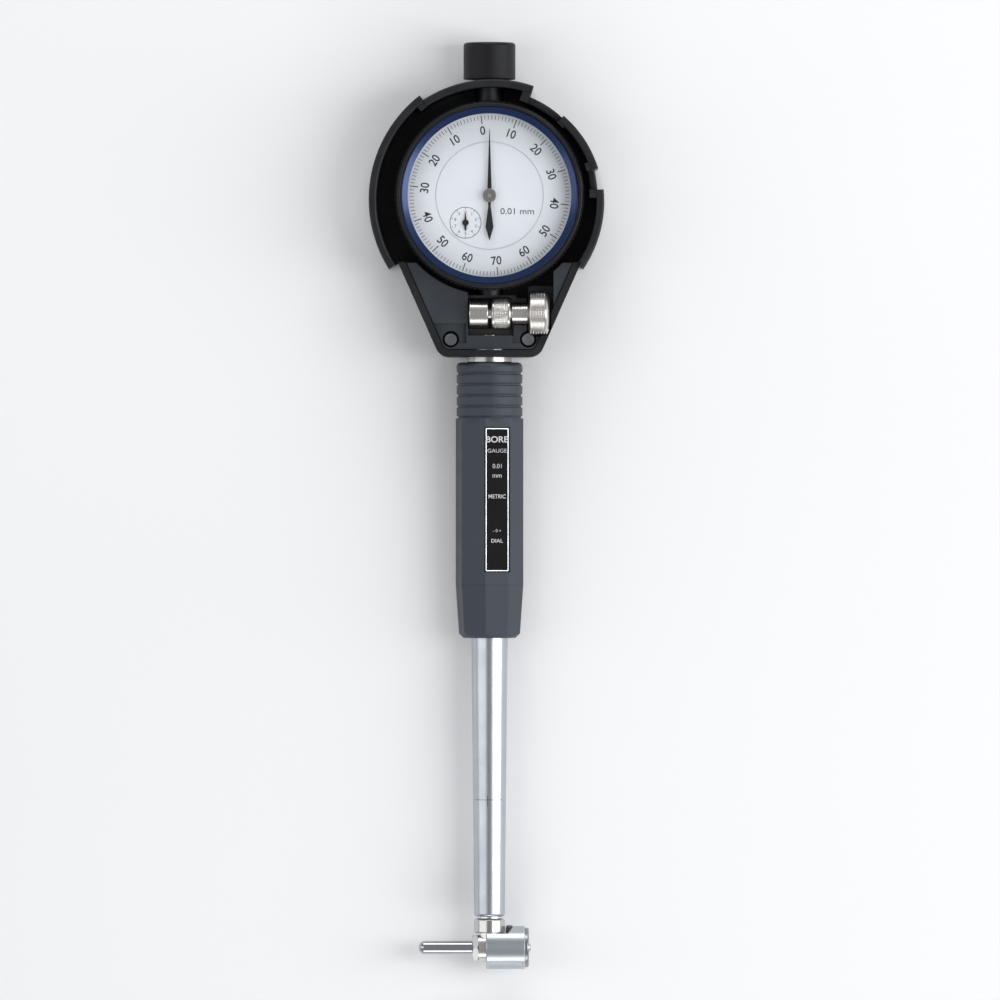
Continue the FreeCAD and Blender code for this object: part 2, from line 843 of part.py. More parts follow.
def guard_front_plate():
    plate = prism(plate_outline(), plate_bottom_z, plate_top_z)
    columns = [disc(screw_column_radius, ear_top_z, plate_top_z, x, y) for x, y in screw_places()]
    plate = fused([plate, *columns, panel_leg()])
    cuts = [
        clear_of_bezel(plate_bottom_z, plate_top_z),
        box(
            vector(window_left_x, window_bottom_y, plate_bottom_z),
            vector(window_right_x, plate_top_y, plate_top_z),
        ),
        box(
            vector(window_right_x, knob_window_bottom_y, plate_bottom_z),
            vector(knob_window_right_x, plate_top_y, plate_top_z),
        ),
        knob_room(),
        clamp_rod(spacer_radius + spacer_window_gap, window_left_x, knob_left_x),
    ]
    boss_bottom_y = housing_bottom_y + housing_wall + boss_end_inset
    for side in (-1, 1):
        x = side * screw_x
        cuts.append(disc(screw_recess_radius, screw_head_bottom_z, plate_top_z, x, screw_y))
        cuts.append(disc(screw_shank_radius + screw_thread_clearance, 0, plate_top_z, x, screw_y))
        cuts.append(
            mirrored_box(
                side,
                boss_inner_x,
                housing_top_half_width,
                boss_bottom_y,
                boss_top_y,
                boss_level_z,
                plate_top_z,
            )
        )
    return without(plate, cuts)


def screw_with_socket(x, y):
    top = screw_head_top_z
    bottom = screw_head_bottom_z
    profile = [
        (top, 0),
        (top, screw_head_radius, medium_edge),
        (bottom, screw_head_radius),
        (bottom, screw_shank_radius),
        (screw_end_z, screw_shank_radius),
        (screw_end_z, 0),
    ]
    socket = prism(hexagon(screw_socket_flats, screw_socket_turn), bottom + screw_head_height / 3, top)
    socket.translate(vector(x, y, 0))
    return turned(profile, vector(x, y, 0)).cut(socket)


def guard_screws():
    return Part.makeCompound([screw_with_socket(x, y) for x, y in screw_places()])


# Clamp


def stem_bore(clearance):
    return stem_rod(stem_radius + clearance, head_axis_y, 0)


def clamp_block():
    block = box(
        vector(-block_half_width, block_bottom_y, block_bottom_z),
        vector(block_half_width, block_top_y, block_top_z),
    )
    saddle_half = spacer_radius + saddle_wall
    saddle = box(
        vector(0, clamp_axis_y - saddle_half, block_bottom_z),
        vector(spacer_right_x - saddle_end_inset, clamp_axis_y + saddle_half, block_top_z),
    )
    ears = [disc(screw_column_radius, block_bottom_z, ear_top_z, x, y) for x, y in screw_places()]
    bar = box(
        vector(-screw_x, screw_y - screw_column_radius, block_bottom_z),
        vector(screw_x, screw_y + screw_column_radius, ear_top_z),
    )
    body = fused([block, saddle, bar, *ears])
    spigot_end = block_bottom_y + neck_spigot_length + fit_clearance
    cuts = [
        clamp_rod(cotter_right_radius + cotter_clearance, cotter_left_x - cotter_clearance, spacer_left_x),
        clamp_rod(cotter_left_radius + cotter_clearance, -block_half_width, 0),
        clamp_rod(spacer_radius + cotter_clearance, spacer_left_x, spacer_right_x),
        stem_bore(stem_bore_clearance),
        stem_rod(neck_spigot_radius + fit_clearance, block_bottom_y, spigot_end),
    ]
    for x, y in screw_places():
        cuts.append(disc(screw_shank_radius + screw_thread_clearance, block_bottom_z, block_top_z, x, y))
    return without(body, cuts)


def cotter(left, right, radius):
    """A plain sleeve on the clamp screw, with a hollow in its side for the indicator's stem."""
    sleeve = clamp_turned([(left, 0), (left, radius, cotter_edge), (right, radius, cotter_edge), (right, 0)])
    screw_hole = clamp_rod(clamp_screw_radius + clamp_screw_clearance, left, right)
    return without(sleeve, [stem_bore(2 * stem_bore_clearance), screw_hole])


def cotter_left():
    return cotter(cotter_left_x, cotter_gap_left_x, cotter_left_radius)


def cotter_right():
    return cotter(cotter_gap_right_x, cotter_right_x, cotter_right_radius)


def clamp_screw():
    radius = clamp_screw_radius
    end = clamp_screw_end_x
    return clamp_turned([(cotter_left_x, 0), (cotter_left_x, radius, medium_edge), (end, radius), (end, 0)])


def clamp_spacer():
    bore = clamp_screw_radius + fit_clearance
    return clamp_turned(
        [
            (spacer_left_x, bore),
            (spacer_left_x, spacer_radius, medium_edge),
            (spacer_right_x, spacer_radius, medium_edge),
            (spacer_right_x, bore),
        ]
    )


def clamp_knob():
    bore = clamp_screw_radius + fit_clearance
    seat = clamp_screw_end_x + fit_clearance
    return clamp_turned(
        [
            (knob_left_x, bore),
            (knob_left_x, knob_radius, large_edge),
            (knob_right_x, knob_radius, large_edge),
            (knob_crown_x, knob_crown_radius, knob_crown_edge),
            (knob_crown_x, 0),
            (seat, 0),
            (seat, bore),
        ]
    )


# Neck, grip and tube


def holder_neck():
    bore = stem_radius + stem_bore_clearance
    spigot_top = neck_top_y + neck_spigot_length
    return stem_turned(
        [
            (spigot_top, bore),
            (spigot_top, neck_spigot_radius),
            (neck_top_y, neck_spigot_radius),
            (neck_top_y, neck_radius),
            (grip_top_y, neck_radius, small_edge),
            (grip_top_y, tube_joint_radius),
            (tube_joint_y, tube_joint_radius),
            (tube_joint_y, tube_bore_radius),
            (spindle_contact_top_y, tube_bore_radius),
            (spindle_contact_top_y, bore),
        ]
    )


def octagon(apothem, y):
    """The grip's section at a station, with rounded corners, turned so that the label's facet looks aside."""
    corner = apothem / math.cos(math.radians(facet_half_angle))
    corners = [(*polar(corner, facet_half_angle + 45 * index), grip_corner_radius) for index in range(8)]
    wire = outline(corners)
    wire.rotate(vector(0, 0, 0), vector(0, 0, 1), -grip_turn)
    wire.rotate(vector(0, 0, 0), vector(1, 0, 0), 90)
    wire.translate(vector(0, y, axis_z))
    return wire


def lofted_grip(apothem, y, end_apothem, end_y):
    return Part.makeLoft([octagon(apothem, y), octagon(end_apothem, end_y)], True, True)


def grip_ribs():
    """The ribbed round collar at the grip's top, as one turned profile."""
    pitch = grip_ribbed_length / grip_rib_count
    half_groove = grip_groove_width / 2
    half_floor = half_groove * 0.6
    floor_radius = grip_rib_radius - grip_groove_depth
    profile = [(grip_top_y, 0), (grip_top_y, grip_rib_radius, grip_edge_radius)]
    for index in range(1, grip_rib_count + 1):
        groove_y = grip_top_y - pitch * index
        profile += [
            (groove_y + half_groove, grip_rib_radius, grip_rib_edge),
            (groove_y + half_floor, floor_radius, grip_groove_edge),
            (groove_y - half_floor, floor_radius, grip_groove_edge),
            (groove_y - half_groove, grip_rib_radius, grip_rib_edge),
        ]
    end = grip_body_y - grip_groove_width
    profile += [(end, grip_rib_radius), (end, 0)]
    return stem_turned(profile)


def label_frame(length, width, bottom, top):
    """A flat block on the grip's label facet, from bottom to top measured from the facet."""
    block = box(
        vector(-width / 2, -length / 2, grip_apothem + bottom),
        vector(width / 2, length / 2, grip_apothem + top),
    )
    block.rotate(vector(0, 0, 0), y_axis, grip_turn)
    block.translate(vector(0, label_top_y - label_length / 2, axis_z))
    return block


def grip():
    body = lofted_grip(grip_apothem, grip_body_y - grip_rib_overlap, grip_apothem, grip_taper_y)
    taper = lofted_grip(grip_apothem, grip_taper_y, grip_end_apothem, grip_end_y)
    end_corner = grip_end_apothem / math.cos(math.radians(facet_half_angle))
    beyond = end_corner + 1
    end_round = stem_turned(
        [
            (grip_end_y, beyond),
            (grip_end_y + end_corner, beyond),
            (grip_end_y + grip_edge_radius, end_corner),
            (grip_end_y, end_corner - grip_edge_radius),
        ]
    )
    solid = fused([grip_ribs(), body, taper.cut(end_round)])
    bore = stem_rod(tube_radius + fit_clearance, grip_end_y, grip_top_y)
    recess = label_frame(
        label_length + 2 * label_border, label_width + 2 * label_border, -label_recess_depth, label_thickness
    )
    return without(solid, [bore, recess])


def label_plate():
    return label_frame(label_length, label_width, -label_recess_depth, label_thickness - label_recess_depth)


def tube():
    joint_bore = tube_joint_radius + fit_clearance
    stem_bore_end = head_stem_top_y + head_stem_gap
    top = grip_top_y - tube_end_play
    joint_end = tube_joint_y - tube_end_play
    return stem_turned(
        [
            (top, joint_bore),
            (top, tube_radius),
            (grip_end_y, tube_radius),
            (tube_end_y, tube_end_radius, tube_edge_radius),
            (tube_end_y, head_stem_radius + fit_clearance),
            (stem_bore_end, head_stem_radius + fit_clearance),
            (stem_bore_end, tube_bore_radius),
            (joint_end, tube_bore_radius),
            (joint_end, joint_bore),
        ]
    )


# Push rod


def push_rod():
    spigot = foot_spigot_radius + fit_clearance
    spigot_top = rod_bottom_y + foot_spigot_length
    return stem_turned(
        [
            (rod_top_y, 0),
            (rod_top_y, rod_radius, small_edge),
            (rod_collar_top_y, rod_radius),
            (rod_collar_top_y, rod_collar_radius),
            (rod_collar_y, rod_collar_radius),
            (rod_collar_y, rod_radius),
            (rod_bottom_y, rod_radius, small_edge),
            (rod_bottom_y, spigot),
            (spigot_top, spigot),
            (spigot_top, 0),
        ]
    )


def rod_end_pad():
    return stem_turned(
        [
            (rod_top_y, 0),
            (rod_top_y, rod_pad_radius, small_edge),
            (rod_pad_top_y, rod_pad_radius, small_edge),
            (rod_pad_top_y, 0),
        ]
    )


def rod_guide(top):
    bore = rod_radius + rod_running_clearance
    bottom = top - rod_guide_length
    outer = tube_bore_radius
    return stem_turned([(top, bore), (top, outer, small_edge), (bottom, outer, small_edge), (bottom, bore)])


def rod_guide_upper():
    return rod_guide(upper_guide_y)


def rod_guide_lower():
    return rod_guide(lower_guide_y)


def rod_return_spring():
    mean = (rod_radius + rod_running_clearance + tube_bore_radius) / 2
    wire = rod_spring_wire
    return coil(rod_collar_top_y, rod_spring_top_y, mean, wire, rod_spring_turns, stem_axis, y_axis)


def rod_foot():
    centre = head_axis_y + foot_centre_height
    spigot_top = rod_bottom_y + foot_spigot_length - fit_clearance
    shank = stem_turned(
        [
            (centre, 0),
            (centre, foot_radius),
            (rod_bottom_y, foot_radius),
            (rod_bottom_y, foot_spigot_radius),
            (spigot_top, foot_spigot_radius),
            (spigot_top, 0),
        ]
    )
    ball = Part.makeSphere(foot_radius, vector(0, centre, axis_z))
    return fused([shank, ball])


# Measuring head


def head_body():
    stem = stem_rod(head_stem_radius, head_axis_y, head_stem_top_y)
    left_room = box(
        vector(-2 * head_radius, head_axis_y - head_radius, axis_z - head_radius),
        vector(head_left_x, head_collar_bottom_y, axis_z + head_radius),
    )
    barrel = head_rod(head_radius, head_left_x, head_right_x)
    body = fused([stem.cut(left_room), barrel])
    key_half = key_pin_radius + rod_running_clearance
    key_bottom_y = head_axis_y + guide_flat_height - key_pin_depth - rod_running_clearance
    key_slot = box(
        vector(key_pin_x - guide_travel - key_half, key_bottom_y, key_pin_z - key_half),
        vector(key_pin_x + key_half, head_axis_y + head_radius, key_pin_z + key_half),
    )
    plunger_left = plunger_tip_x - contact_travel - plunger_end_gap
    shoulder_left = shoulder_left_x - contact_travel - shoulder_clearance
    cuts = [
        stem_rod(foot_radius + rod_running_clearance, head_axis_y, head_stem_top_y),
        head_rod(plunger_radius + rod_running_clearance, plunger_left, head_right_x),
        head_rod(bush_radius + fit_clearance, shoulder_left, head_right_x),
        head_rod(anvil_thread_radius + fit_clearance, head_left_x, head_left_x + anvil_thread_length),
        key_slot,
    ]
    return without(body, cuts)


def head_collar():
    bore = head_stem_radius + fit_clearance
    return stem_turned(
        [
            (head_collar_bottom_y, bore),
            (head_collar_bottom_y, head_collar_radius, medium_edge),
            (head_collar_top_y - head_collar_chamfer * 0.6, head_collar_radius, medium_edge),
            (head_collar_top_y, head_collar_radius - head_collar_chamfer),
            (head_collar_top_y, bore),
        ]
    )


def contact_bush():
    bore = plunger_radius + rod_running_clearance
    left = shoulder_right_x + shoulder_clearance
    return head_turned(
        [(left, bore), (left, bush_radius), (head_right_x, bush_radius, small_edge), (head_right_x, bore)]
    )


def contact_plunger():
    tip_bore = contact_tip_spigot_radius + fit_clearance
    spigot_x = plunger_end_x - contact_tip_spigot_length
    plunger = head_turned(
        [
            (plunger_tip_x, 0),
            (plunger_tip_x, plunger_radius),
            (shoulder_left_x, plunger_radius),
            (shoulder_left_x, shoulder_radius),
            (shoulder_right_x, shoulder_radius),
            (shoulder_right_x, plunger_radius),
            (plunger_end_x, plunger_radius, small_edge),
            (plunger_end_x, tip_bore),
            (spigot_x, tip_bore),
            (spigot_x, 0),
        ]
    )
    # The ramp rises to the right at 45 degrees, so it lifts the rod by as much as the plunger is pushed in.
    reach = 2 * shoulder_radius
    rise = plunger_radius + fit_clearance
    above = prism(
        [(ramp_x - reach, -reach), (ramp_x + rise, rise), (ramp_x + rise, reach), (ramp_x - reach, reach)],
        -reach,
        reach,
    )
    above.translate(head_axis)
    return plunger.cut(above)


def contact_tip():
    root_x = plunger_end_x - contact_tip_spigot_length + fit_clearance
    return head_turned(
        [
            (root_x, 0),
            (root_x, contact_tip_spigot_radius),
            (plunger_end_x, contact_tip_spigot_radius),
            (plunger_end_x, contact_tip_radius),
            (contact_tip_x, contact_tip_radius, contact_tip_edge),
            (contact_tip_x, 0),
        ]
    )


def guide_sleeve():
    bore = guide_bore_radius
    sleeve = head_turned(
        [
            (guide_left_x, bore, small_edge),
            (guide_left_x, guide_radius, cotter_edge),
            (guide_right_x, guide_radius, small_edge),
            (guide_right_x, bore),
        ]
    )
    top = guide_radius + 1
    left = guide_left_x - 1
    shoulder_top_x = guide_shoulder_x + guide_shoulder_run * (top - guide_flat_height) / (
        guide_radius - guide_flat_height
    )
    flat = prism(
        [(left, guide_flat_height), (guide_shoulder_x, guide_flat_height), (shoulder_top_x, top), (left, top)],
        -guide_radius,
        guide_radius,
    )
    flat.translate(head_axis)
    slot_half = head_stem_radius + guide_slot_clearance
    slot = box(
        vector(left, head_axis_y, axis_z - slot_half),
        vector(slot_half + guide_travel, head_axis_y + guide_radius, axis_z + slot_half),
    )
    pin_hole = rod(key_pin_radius + fit_clearance, 0, guide_radius, key_pin_axis, y_axis)
    head_room = rod(key_pin_head_radius + fit_clearance, guide_flat_height, top, key_pin_axis, y_axis)
    return without(sleeve, [flat, slot, pin_hole, head_room])


def guide_end_ring():
    lip_outer = guide_bore_radius - fit_clearance
    lip_inner = lip_outer - end_ring_lip
    lip_x = guide_right_x - end_ring_lip_length
    return head_turned(
        [
            (lip_x, lip_inner),
            (lip_x, lip_outer),
            (guide_right_x, lip_outer),
            (guide_right_x, end_ring_radius),
            (end_ring_right_x, end_ring_radius, large_edge),
            (end_ring_right_x, end_ring_hole_radius, small_edge),
            (guide_right_x, end_ring_hole_radius),
            (guide_right_x, lip_inner),
        ]
    )


def guide_key_pin():
    base = guide_flat_height + fit_clearance
    head_top = base + key_pin_head_height
    return turned(
        [
            (base - key_pin_depth, 0),
            (base - key_pin_depth, key_pin_radius),
            (base, key_pin_radius),
            (base, key_pin_head_radius),
            (head_top, key_pin_head_radius, key_pin_head_radius * 0.7),
            (head_top, 0),
        ],
        key_pin_axis,
        y_axis,
    )


def guide_spring():
    mean = (plunger_radius + guide_bore_radius - end_ring_lip) / 2
    wire = guide_spring_wire
    return coil(head_right_x, guide_right_x, mean, wire, guide_spring_turns, head_axis, x_axis)


def anvil_rod():
    thread_end_x = head_left_x + anvil_thread_length - fit_clearance
    return head_turned(
        [
            (anvil_left_x, 0),
            (anvil_left_x, anvil_radius, anvil_end_edge),
            (nut_left_x, anvil_radius, small_edge),
            (nut_left_x, anvil_thread_radius),
            (thread_end_x, anvil_thread_radius),
            (thread_end_x, 0),
        ]
    )


def anvil_nut():
    corner = nut_across_flats / math.sqrt(3)
    chamfered = turned(
        [
            (0, 0),
            (0, corner - nut_chamfer),
            (nut_chamfer_height, corner),
            (nut_thickness - nut_chamfer_height, corner),
            (nut_thickness, corner - nut_chamfer),
            (nut_thickness, 0),
        ]
    )
    nut = prism(hexagon(nut_across_flats), 0, nut_thickness).common(chamfered)
    nut = nut.cut(disc(anvil_thread_radius + fit_clearance, 0, nut_thickness))
    nut.Placement = FreeCAD.Placement(head_axis + x_axis * nut_left_x, FreeCAD.Rotation(z_axis, x_axis))
    return nut


# Indicator case


def cover_screw_places():
    return around(cover_screw_count, cover_screw_circle, cover_screw_turn)


def movement_screw_places():
    return around(pillar_count, movement_screw_circle, 0)


def indicator_case():
    wall = ring(case_radius, case_inner_radius, case_back_z, case_front_z)
    ledge_inner = case_inner_radius - case_ledge_width
    ledge = ring(case_radius - case_wall / 2, ledge_inner, case_back_z, ledge_z)
    stem = stem_rod(stem_radius, stem_end_y, stem_top_y)
    boss = stem_rod(top_boss_radius, case_inner_radius + top_boss_root, top_boss_end_y)
    body = fused([wall, ledge, stem, boss])
    groove_floor = case_radius - bezel_groove_height / 2
    cuts = [
        stem_rod(stem_bore_radius, stem_end_y, case_wall - case_inner_radius),
        stem_rod(stem_bore_radius, case_inner_radius - case_wall, top_boss_end_y),
        ring(bezel_radius, groove_floor, bezel_groove_z, bezel_groove_top_z),
    ]
    for x, y in cover_screw_places():
        cuts.append(
            disc(cover_screw_radius + fit_clearance, case_back_z, case_back_z + cover_screw_length, x, y)
        )
    for x, y in movement_screw_places():
        cuts.append(disc(movement_screw_radius + fit_clearance, case_back_z, ledge_z, x, y))
    return without(body, cuts)


def case_back_cover():
    bottom = case_back_z - cover_thickness
    cover = turned(
        [(bottom, 0), (bottom, case_radius, cover_edge), (case_back_z, case_radius), (case_back_z, 0)]
    )
    holes = []
    for x, y in cover_screw_places():
        head_top = bottom + cover_screw_head_height
        holes.append(disc(cover_screw_radius + fit_clearance, bottom, case_back_z, x, y))
        holes.append(disc(cover_screw_head_radius + fit_clearance, bottom, head_top, x, y))
    return without(cover, holes)


def cover_screw(x, y):
    bottom = case_back_z - cover_thickness
    head_top = bottom + cover_screw_head_height
    end = case_back_z + cover_screw_length - small_edge
    screw = turned(
        [
            (bottom, 0),
            (bottom, cover_screw_head_radius, small_edge),
            (head_top, cover_screw_head_radius),
            (head_top, cover_screw_radius),
            (end, cover_screw_radius),
            (end, 0),
        ],
        vector(x, y, 0),
    )
    half_width = cover_screw_slot_width / 2
    slot = box(
        vector(x - cover_screw_head_radius, y - half_width, bottom),
        vector(x + cover_screw_head_radius, y + half_width, bottom + cover_screw_slot_depth),
    )
    return screw.cut(slot)


def case_back_screws():
    return Part.makeCompound([cover_screw(x, y) for x, y in cover_screw_places()])


def spindle_bush(start, end):
    bore = spindle_radius + bush_running_clearance
    outer = stem_bore_radius
    return stem_turned([(start, bore), (start, outer, small_edge), (end, outer, small_edge), (end, bore)])


def stem_bush():
    return spindle_bush(stem_end_y, stem_end_y + stem_bush_length)


def spindle_top_bush():
    return spindle_bush(case_inner_radius, case_inner_radius + top_bush_length)


def dust_cap():
    seat = top_boss_radius + fit_clearance
    seat_end = top_boss_end_y + fit_clearance
    return stem_turned(
        [
            (dust_cap_bottom_y, seat),
            (dust_cap_bottom_y, dust_cap_radius, medium_edge),
            (dust_cap_top_y, dust_cap_radius, dust_cap_edge_radius),
            (dust_cap_top_y, 0),
            (dust_cap_inner_y, 0),
            (dust_cap_inner_y, dust_cap_bore_radius),
            (seat_end, dust_cap_bore_radius),
            (seat_end, seat),
        ]
    )


def return_spring():
    mean = dust_cap_bore_radius - return_spring_gap
    wire = return_spring_wire
    return coil(spindle_top_y, dust_cap_inner_y, mean, wire, return_spring_turns, stem_axis, y_axis)


def bezel_retaining_ring():
    inner = case_radius - bezel_groove_height / 2
    middle = (bezel_groove_z + bezel_groove_top_z) / 2
    half = retaining_ring_section / 2
    return ring(inner + bezel_groove_height, inner, middle - half, middle + half)


# Bezel and dial


def bezel():
    skirt = case_radius + bezel_skirt_clearance
    groove = skirt + bezel_groove_height / 2
    wall = bezel_radius - bezel_knurl_depth
    crystal_room = crystal_radius + dial_edge_clearance
    lip_bottom_z = dial_top_z + dial_edge_clearance
    body = turned(
        [
            (bezel_bottom_z, skirt),
            (bezel_bottom_z, wall, medium_edge),
            (bezel_knurl_top_z, wall),
            (bezel_knurl_top_z + bezel_knurl_depth, bezel_rim_radius),
            (bezel_rim_z, bezel_rim_radius, bezel_rim_edge),
            (bezel_rim_z, bezel_rim_inner_radius, medium_edge),
            (crystal_top_z, bezel_rim_inner_radius),
            (crystal_top_z, crystal_room),
            (crystal_seat_z, crystal_room),
            (crystal_seat_z, bezel_lip_radius),
            (lip_bottom_z, bezel_lip_radius),
            (lip_bottom_z, skirt),
            (bezel_groove_top_z, skirt),
            (bezel_groove_top_z, groove),
            (bezel_groove_z, groove),
            (bezel_groove_z, skirt),
        ]
    )
    band = toothed_disc(
        wall, bezel_radius, bezel_knurl_count, bezel_knurl_bottom_z, bezel_knurl_top_z, 0, 0, 0.9, 0.35
    )
    band = band.cut(disc(wall - bezel_knurl_depth, bezel_knurl_bottom_z, bezel_knurl_top_z))
    return fused([body, band])


def bezel_trim_ring():
    outer = bezel_rim_inner_radius - dial_edge_clearance
    top = crystal_top_z + trim_height
    return turned(
        [
            (crystal_top_z, trim_inner_radius),
            (crystal_top_z, outer),
            (top, outer, small_edge),
            (top, outer - trim_flat),
            (crystal_top_z + trim_height / 3, trim_inner_radius),
        ]
    )


def crystal():
    return disc(crystal_radius, crystal_bottom_z, crystal_top_z)


def crystal_gasket():
    return ring(crystal_radius, bezel_lip_radius + gasket_gap, crystal_seat_z, crystal_bottom_z)


def dial_scale_ring():
    """The outer part of the dial, which carries the scale and turns with the bezel."""
    outer = case_radius + bezel_skirt_clearance - dial_edge_clearance
    return ring(outer, dial_joint_radius, dial_bottom_z, dial_top_z)


def dial_centre():
    """The fixed middle of the dial, on short posts from the movement's front plate."""
    plate = disc(dial_joint_radius - dial_joint_gap, dial_bottom_z, dial_top_z)
    post_circle = dial_joint_radius - 3 * pillar_radius
    posts = [
        disc(pillar_radius, front_plate_top_z, dial_bottom_z, x, y)
        for x, y in around(pillar_count, post_circle, 0)
    ]
    holes = [
        disc(dial_hole_radius, dial_bottom_z, dial_top_z),
        disc(counter_hole_radius, dial_bottom_z, dial_top_z, counter_x, counter_y),
    ]
    return without(fused([plate, *posts]), holes)


# Movement


def rack_cut():
    """The flat and the notches that make rack teeth on the spindle's left side."""
    depth = rack_root_x - rack_tooth_height
    first = rack_bottom_y - rack_pitch
    last = rack_bottom_y + rack_pitch * rack_teeth
    low = axis_z - spindle_radius
    high = axis_z + spindle_radius
    narrow = rack_pitch * 0.24
    wide = rack_pitch * 0.4
    cuts = [box(vector(-spindle_radius, first, low), vector(depth, last, high))]
    for index in range(rack_teeth):
        y = rack_bottom_y + rack_pitch * index
        notch = [(rack_root_x, y - narrow), (rack_root_x, y + narrow), (depth, y + wide), (depth, y - wide)]
        cuts.append(prism(notch, low, high))
    return cuts


def spindle():
    collar_bottom_y = spindle_top_y - spindle_collar_thickness
    spigot_end_y = spindle_contact_top_y + spindle_spigot_length
    body = stem_turned(
        [
            (spindle_top_y, 0),
            (spindle_top_y, spindle_collar_radius, small_edge),
            (collar_bottom_y, spindle_collar_radius),
            (collar_bottom_y, spindle_radius),
            (spindle_contact_top_y, spindle_radius),
            (spindle_contact_top_y, spindle_spigot_radius),
            (spigot_end_y, spindle_spigot_radius),
            (spigot_end_y, 0),
        ]
    )
    bottom_z = axis_z - spindle_radius
    pin_hole = disc(guide_pin_radius, bottom_z, bottom_z + guide_pin_depth, 0, guide_pin_y)
    return without(body, [*rack_cut(), pin_hole])


def spindle_contact():
    spigot = spindle_spigot_radius - fit_clearance
    spigot_end_y = spindle_contact_top_y + spindle_spigot_length - fit_clearance
    tip_y = rod_pad_top_y + fit_clearance
    return stem_turned(
        [
            (spigot_end_y, 0),
            (spigot_end_y, spigot),
            (spindle_contact_top_y, spigot),
            (spindle_contact_top_y, spindle_contact_radius, small_edge),
            (spindle_contact_end_y, spindle_contact_radius, medium_edge),
            (tip_y, spindle_contact_radius / 2, spindle_contact_radius / 3),
            (tip_y, 0),
        ]
    )


def rack_guide_pin():
    top_z = axis_z - spindle_radius + guide_pin_depth
    return disc(guide_pin_radius, ledge_z - guide_pin_root, top_z, 0, guide_pin_y)


def wheel_arbor_places():
    """The rack wheel's arbor and the hairspring wheel's, one on each side of the centre."""
    return [(arbor_x, arbor_y), (-arbor_x, -arbor_y)]


def movement_rear_plate():
    plate = disc(movement_radius, ledge_z, rear_plate_top_z)
    slot_half = guide_pin_radius + guide_pin_clearance
    slot = box(
        vector(-slot_half, guide_pin_y - slot_half, ledge_z),
        vector(slot_half, guide_pin_y + contact_travel + slot_half, rear_plate_top_z),
    )
    pivot_hole = pivot_radius + pivot_clearance
    screw_hole = movement_screw_radius + fit_clearance
    holes = [disc(pivot_hole, ledge_z, rear_plate_top_z, x, y) for x, y in wheel_arbor_places()]
    holes += [disc(screw_hole, ledge_z, rear_plate_top_z, x, y) for x, y in movement_screw_places()]
    return without(plate, [slot, *holes])


def movement_front_plate():
    plate = disc(movement_radius, front_plate_z, front_plate_top_z)
    pivot_hole = pivot_radius + pivot_clearance
    places = [*wheel_arbor_places(), (counter_x, counter_y)]
    holes = [disc(pivot_hole, front_plate_z, front_plate_top_z, x, y) for x, y in places]
    holes.append(disc(arbor_radius + pivot_clearance, front_plate_z, front_plate_top_z))
    return without(plate, holes)


def movement_pillars():
    """The pillars stand midway between the two large wheels."""
    places = around(pillar_count, pillar_circle, arbor_direction + 180 / pillar_count)
    return Part.makeCompound([disc(pillar_radius, rear_plate_top_z, front_plate_z, x, y) for x, y in places])


def movement_screw(x, y):
    head_bottom = rear_plate_top_z
    head_top = head_bottom + movement_screw_head_height
    end = case_back_z + arbor_end_play
    return turned(
        [
            (end, 0),
            (end, movement_screw_radius),
            (head_bottom, movement_screw_radius),
            (head_bottom, movement_screw_head_radius),
            (head_top, movement_screw_head_radius, small_edge),
            (head_top, 0),
        ],
        vector(x, y, 0),
    )


def movement_screws():
    return Part.makeCompound([movement_screw(x, y) for x, y in movement_screw_places()])


def centre_bridge():
    """The bridge under the front plate that carries the centre arbor, square to the line of the wheels."""
    half = bridge_width / 2
    corners = [(-1, -1), (1, -1), (1, 1), (-1, 1)]
    bar_outline = [(bridge_half_length * x, half * y, bridge_corner) for x, y in corners]
    bar_top_z = bridge_z + bridge_thickness
    bar = prism(bar_outline, bridge_z, bar_top_z)
    post_x = bridge_half_length - half
    posts = [disc(half * 0.7, bar_top_z, front_plate_z, side * post_x, 0) for side in (-1, 1)]
    hole = disc(pivot_radius + pivot_clearance, bridge_z, bar_top_z)
    bridge = fused([bar, *posts]).cut(hole)
    bridge.rotate(vector(0, 0, 0), z_axis, arbor_direction - 90)
    return bridge


def gear(teeth, module, bottom, top, x, y, turn):
    """A spur gear with slim teeth: the gaps leave room for the backlash of a light train."""
    pitch_radius = module * teeth / 2
    root = pitch_radius - tooth_dedendum * module
    tip = pitch_radius + tooth_addendum * module
    return toothed_disc(root, tip, teeth, bottom, top, x, y, 0.54, 0.162, turn)


def large_wheel(x, y):
    """A large wheel with a tooth on the line to the centre pinion."""
    turn = tooth_facing(x, y, 0, 0)
    return gear(wheel_teeth, wheel_module, wheel_z, wheel_z + wheel_thickness, x, y, turn)


def counter_gear(teeth, x, y, turn):
    top_z = counter_wheel_z + counter_wheel_thickness
    return gear(teeth, counter_module, counter_wheel_z, top_z, x, y, turn)


def tooth_facing(x, y, target_x, target_y):
    """The direction from one arbor to another, for putting a tooth or a gap on the line of centres."""
    return math.degrees(math.atan2(target_y - y, target_x - x))


def arbor(x, y):
    """An arbor between the plates, with a pivot at each end."""
    lower = ledge_z + arbor_end_play
    upper = front_plate_top_z - arbor_end_play
    bottom = rear_plate_top_z + arbor_end_play
    top = front_plate_z - arbor_end_play
    return turned(
        [
            (lower, 0),
            (lower, pivot_radius),
            (bottom, pivot_radius),
            (bottom, arbor_radius),
            (top, arbor_radius),
            (top, pivot_radius),
            (upper, pivot_radius),
            (upper, 0),
        ],
        vector(x, y, 0),
    )


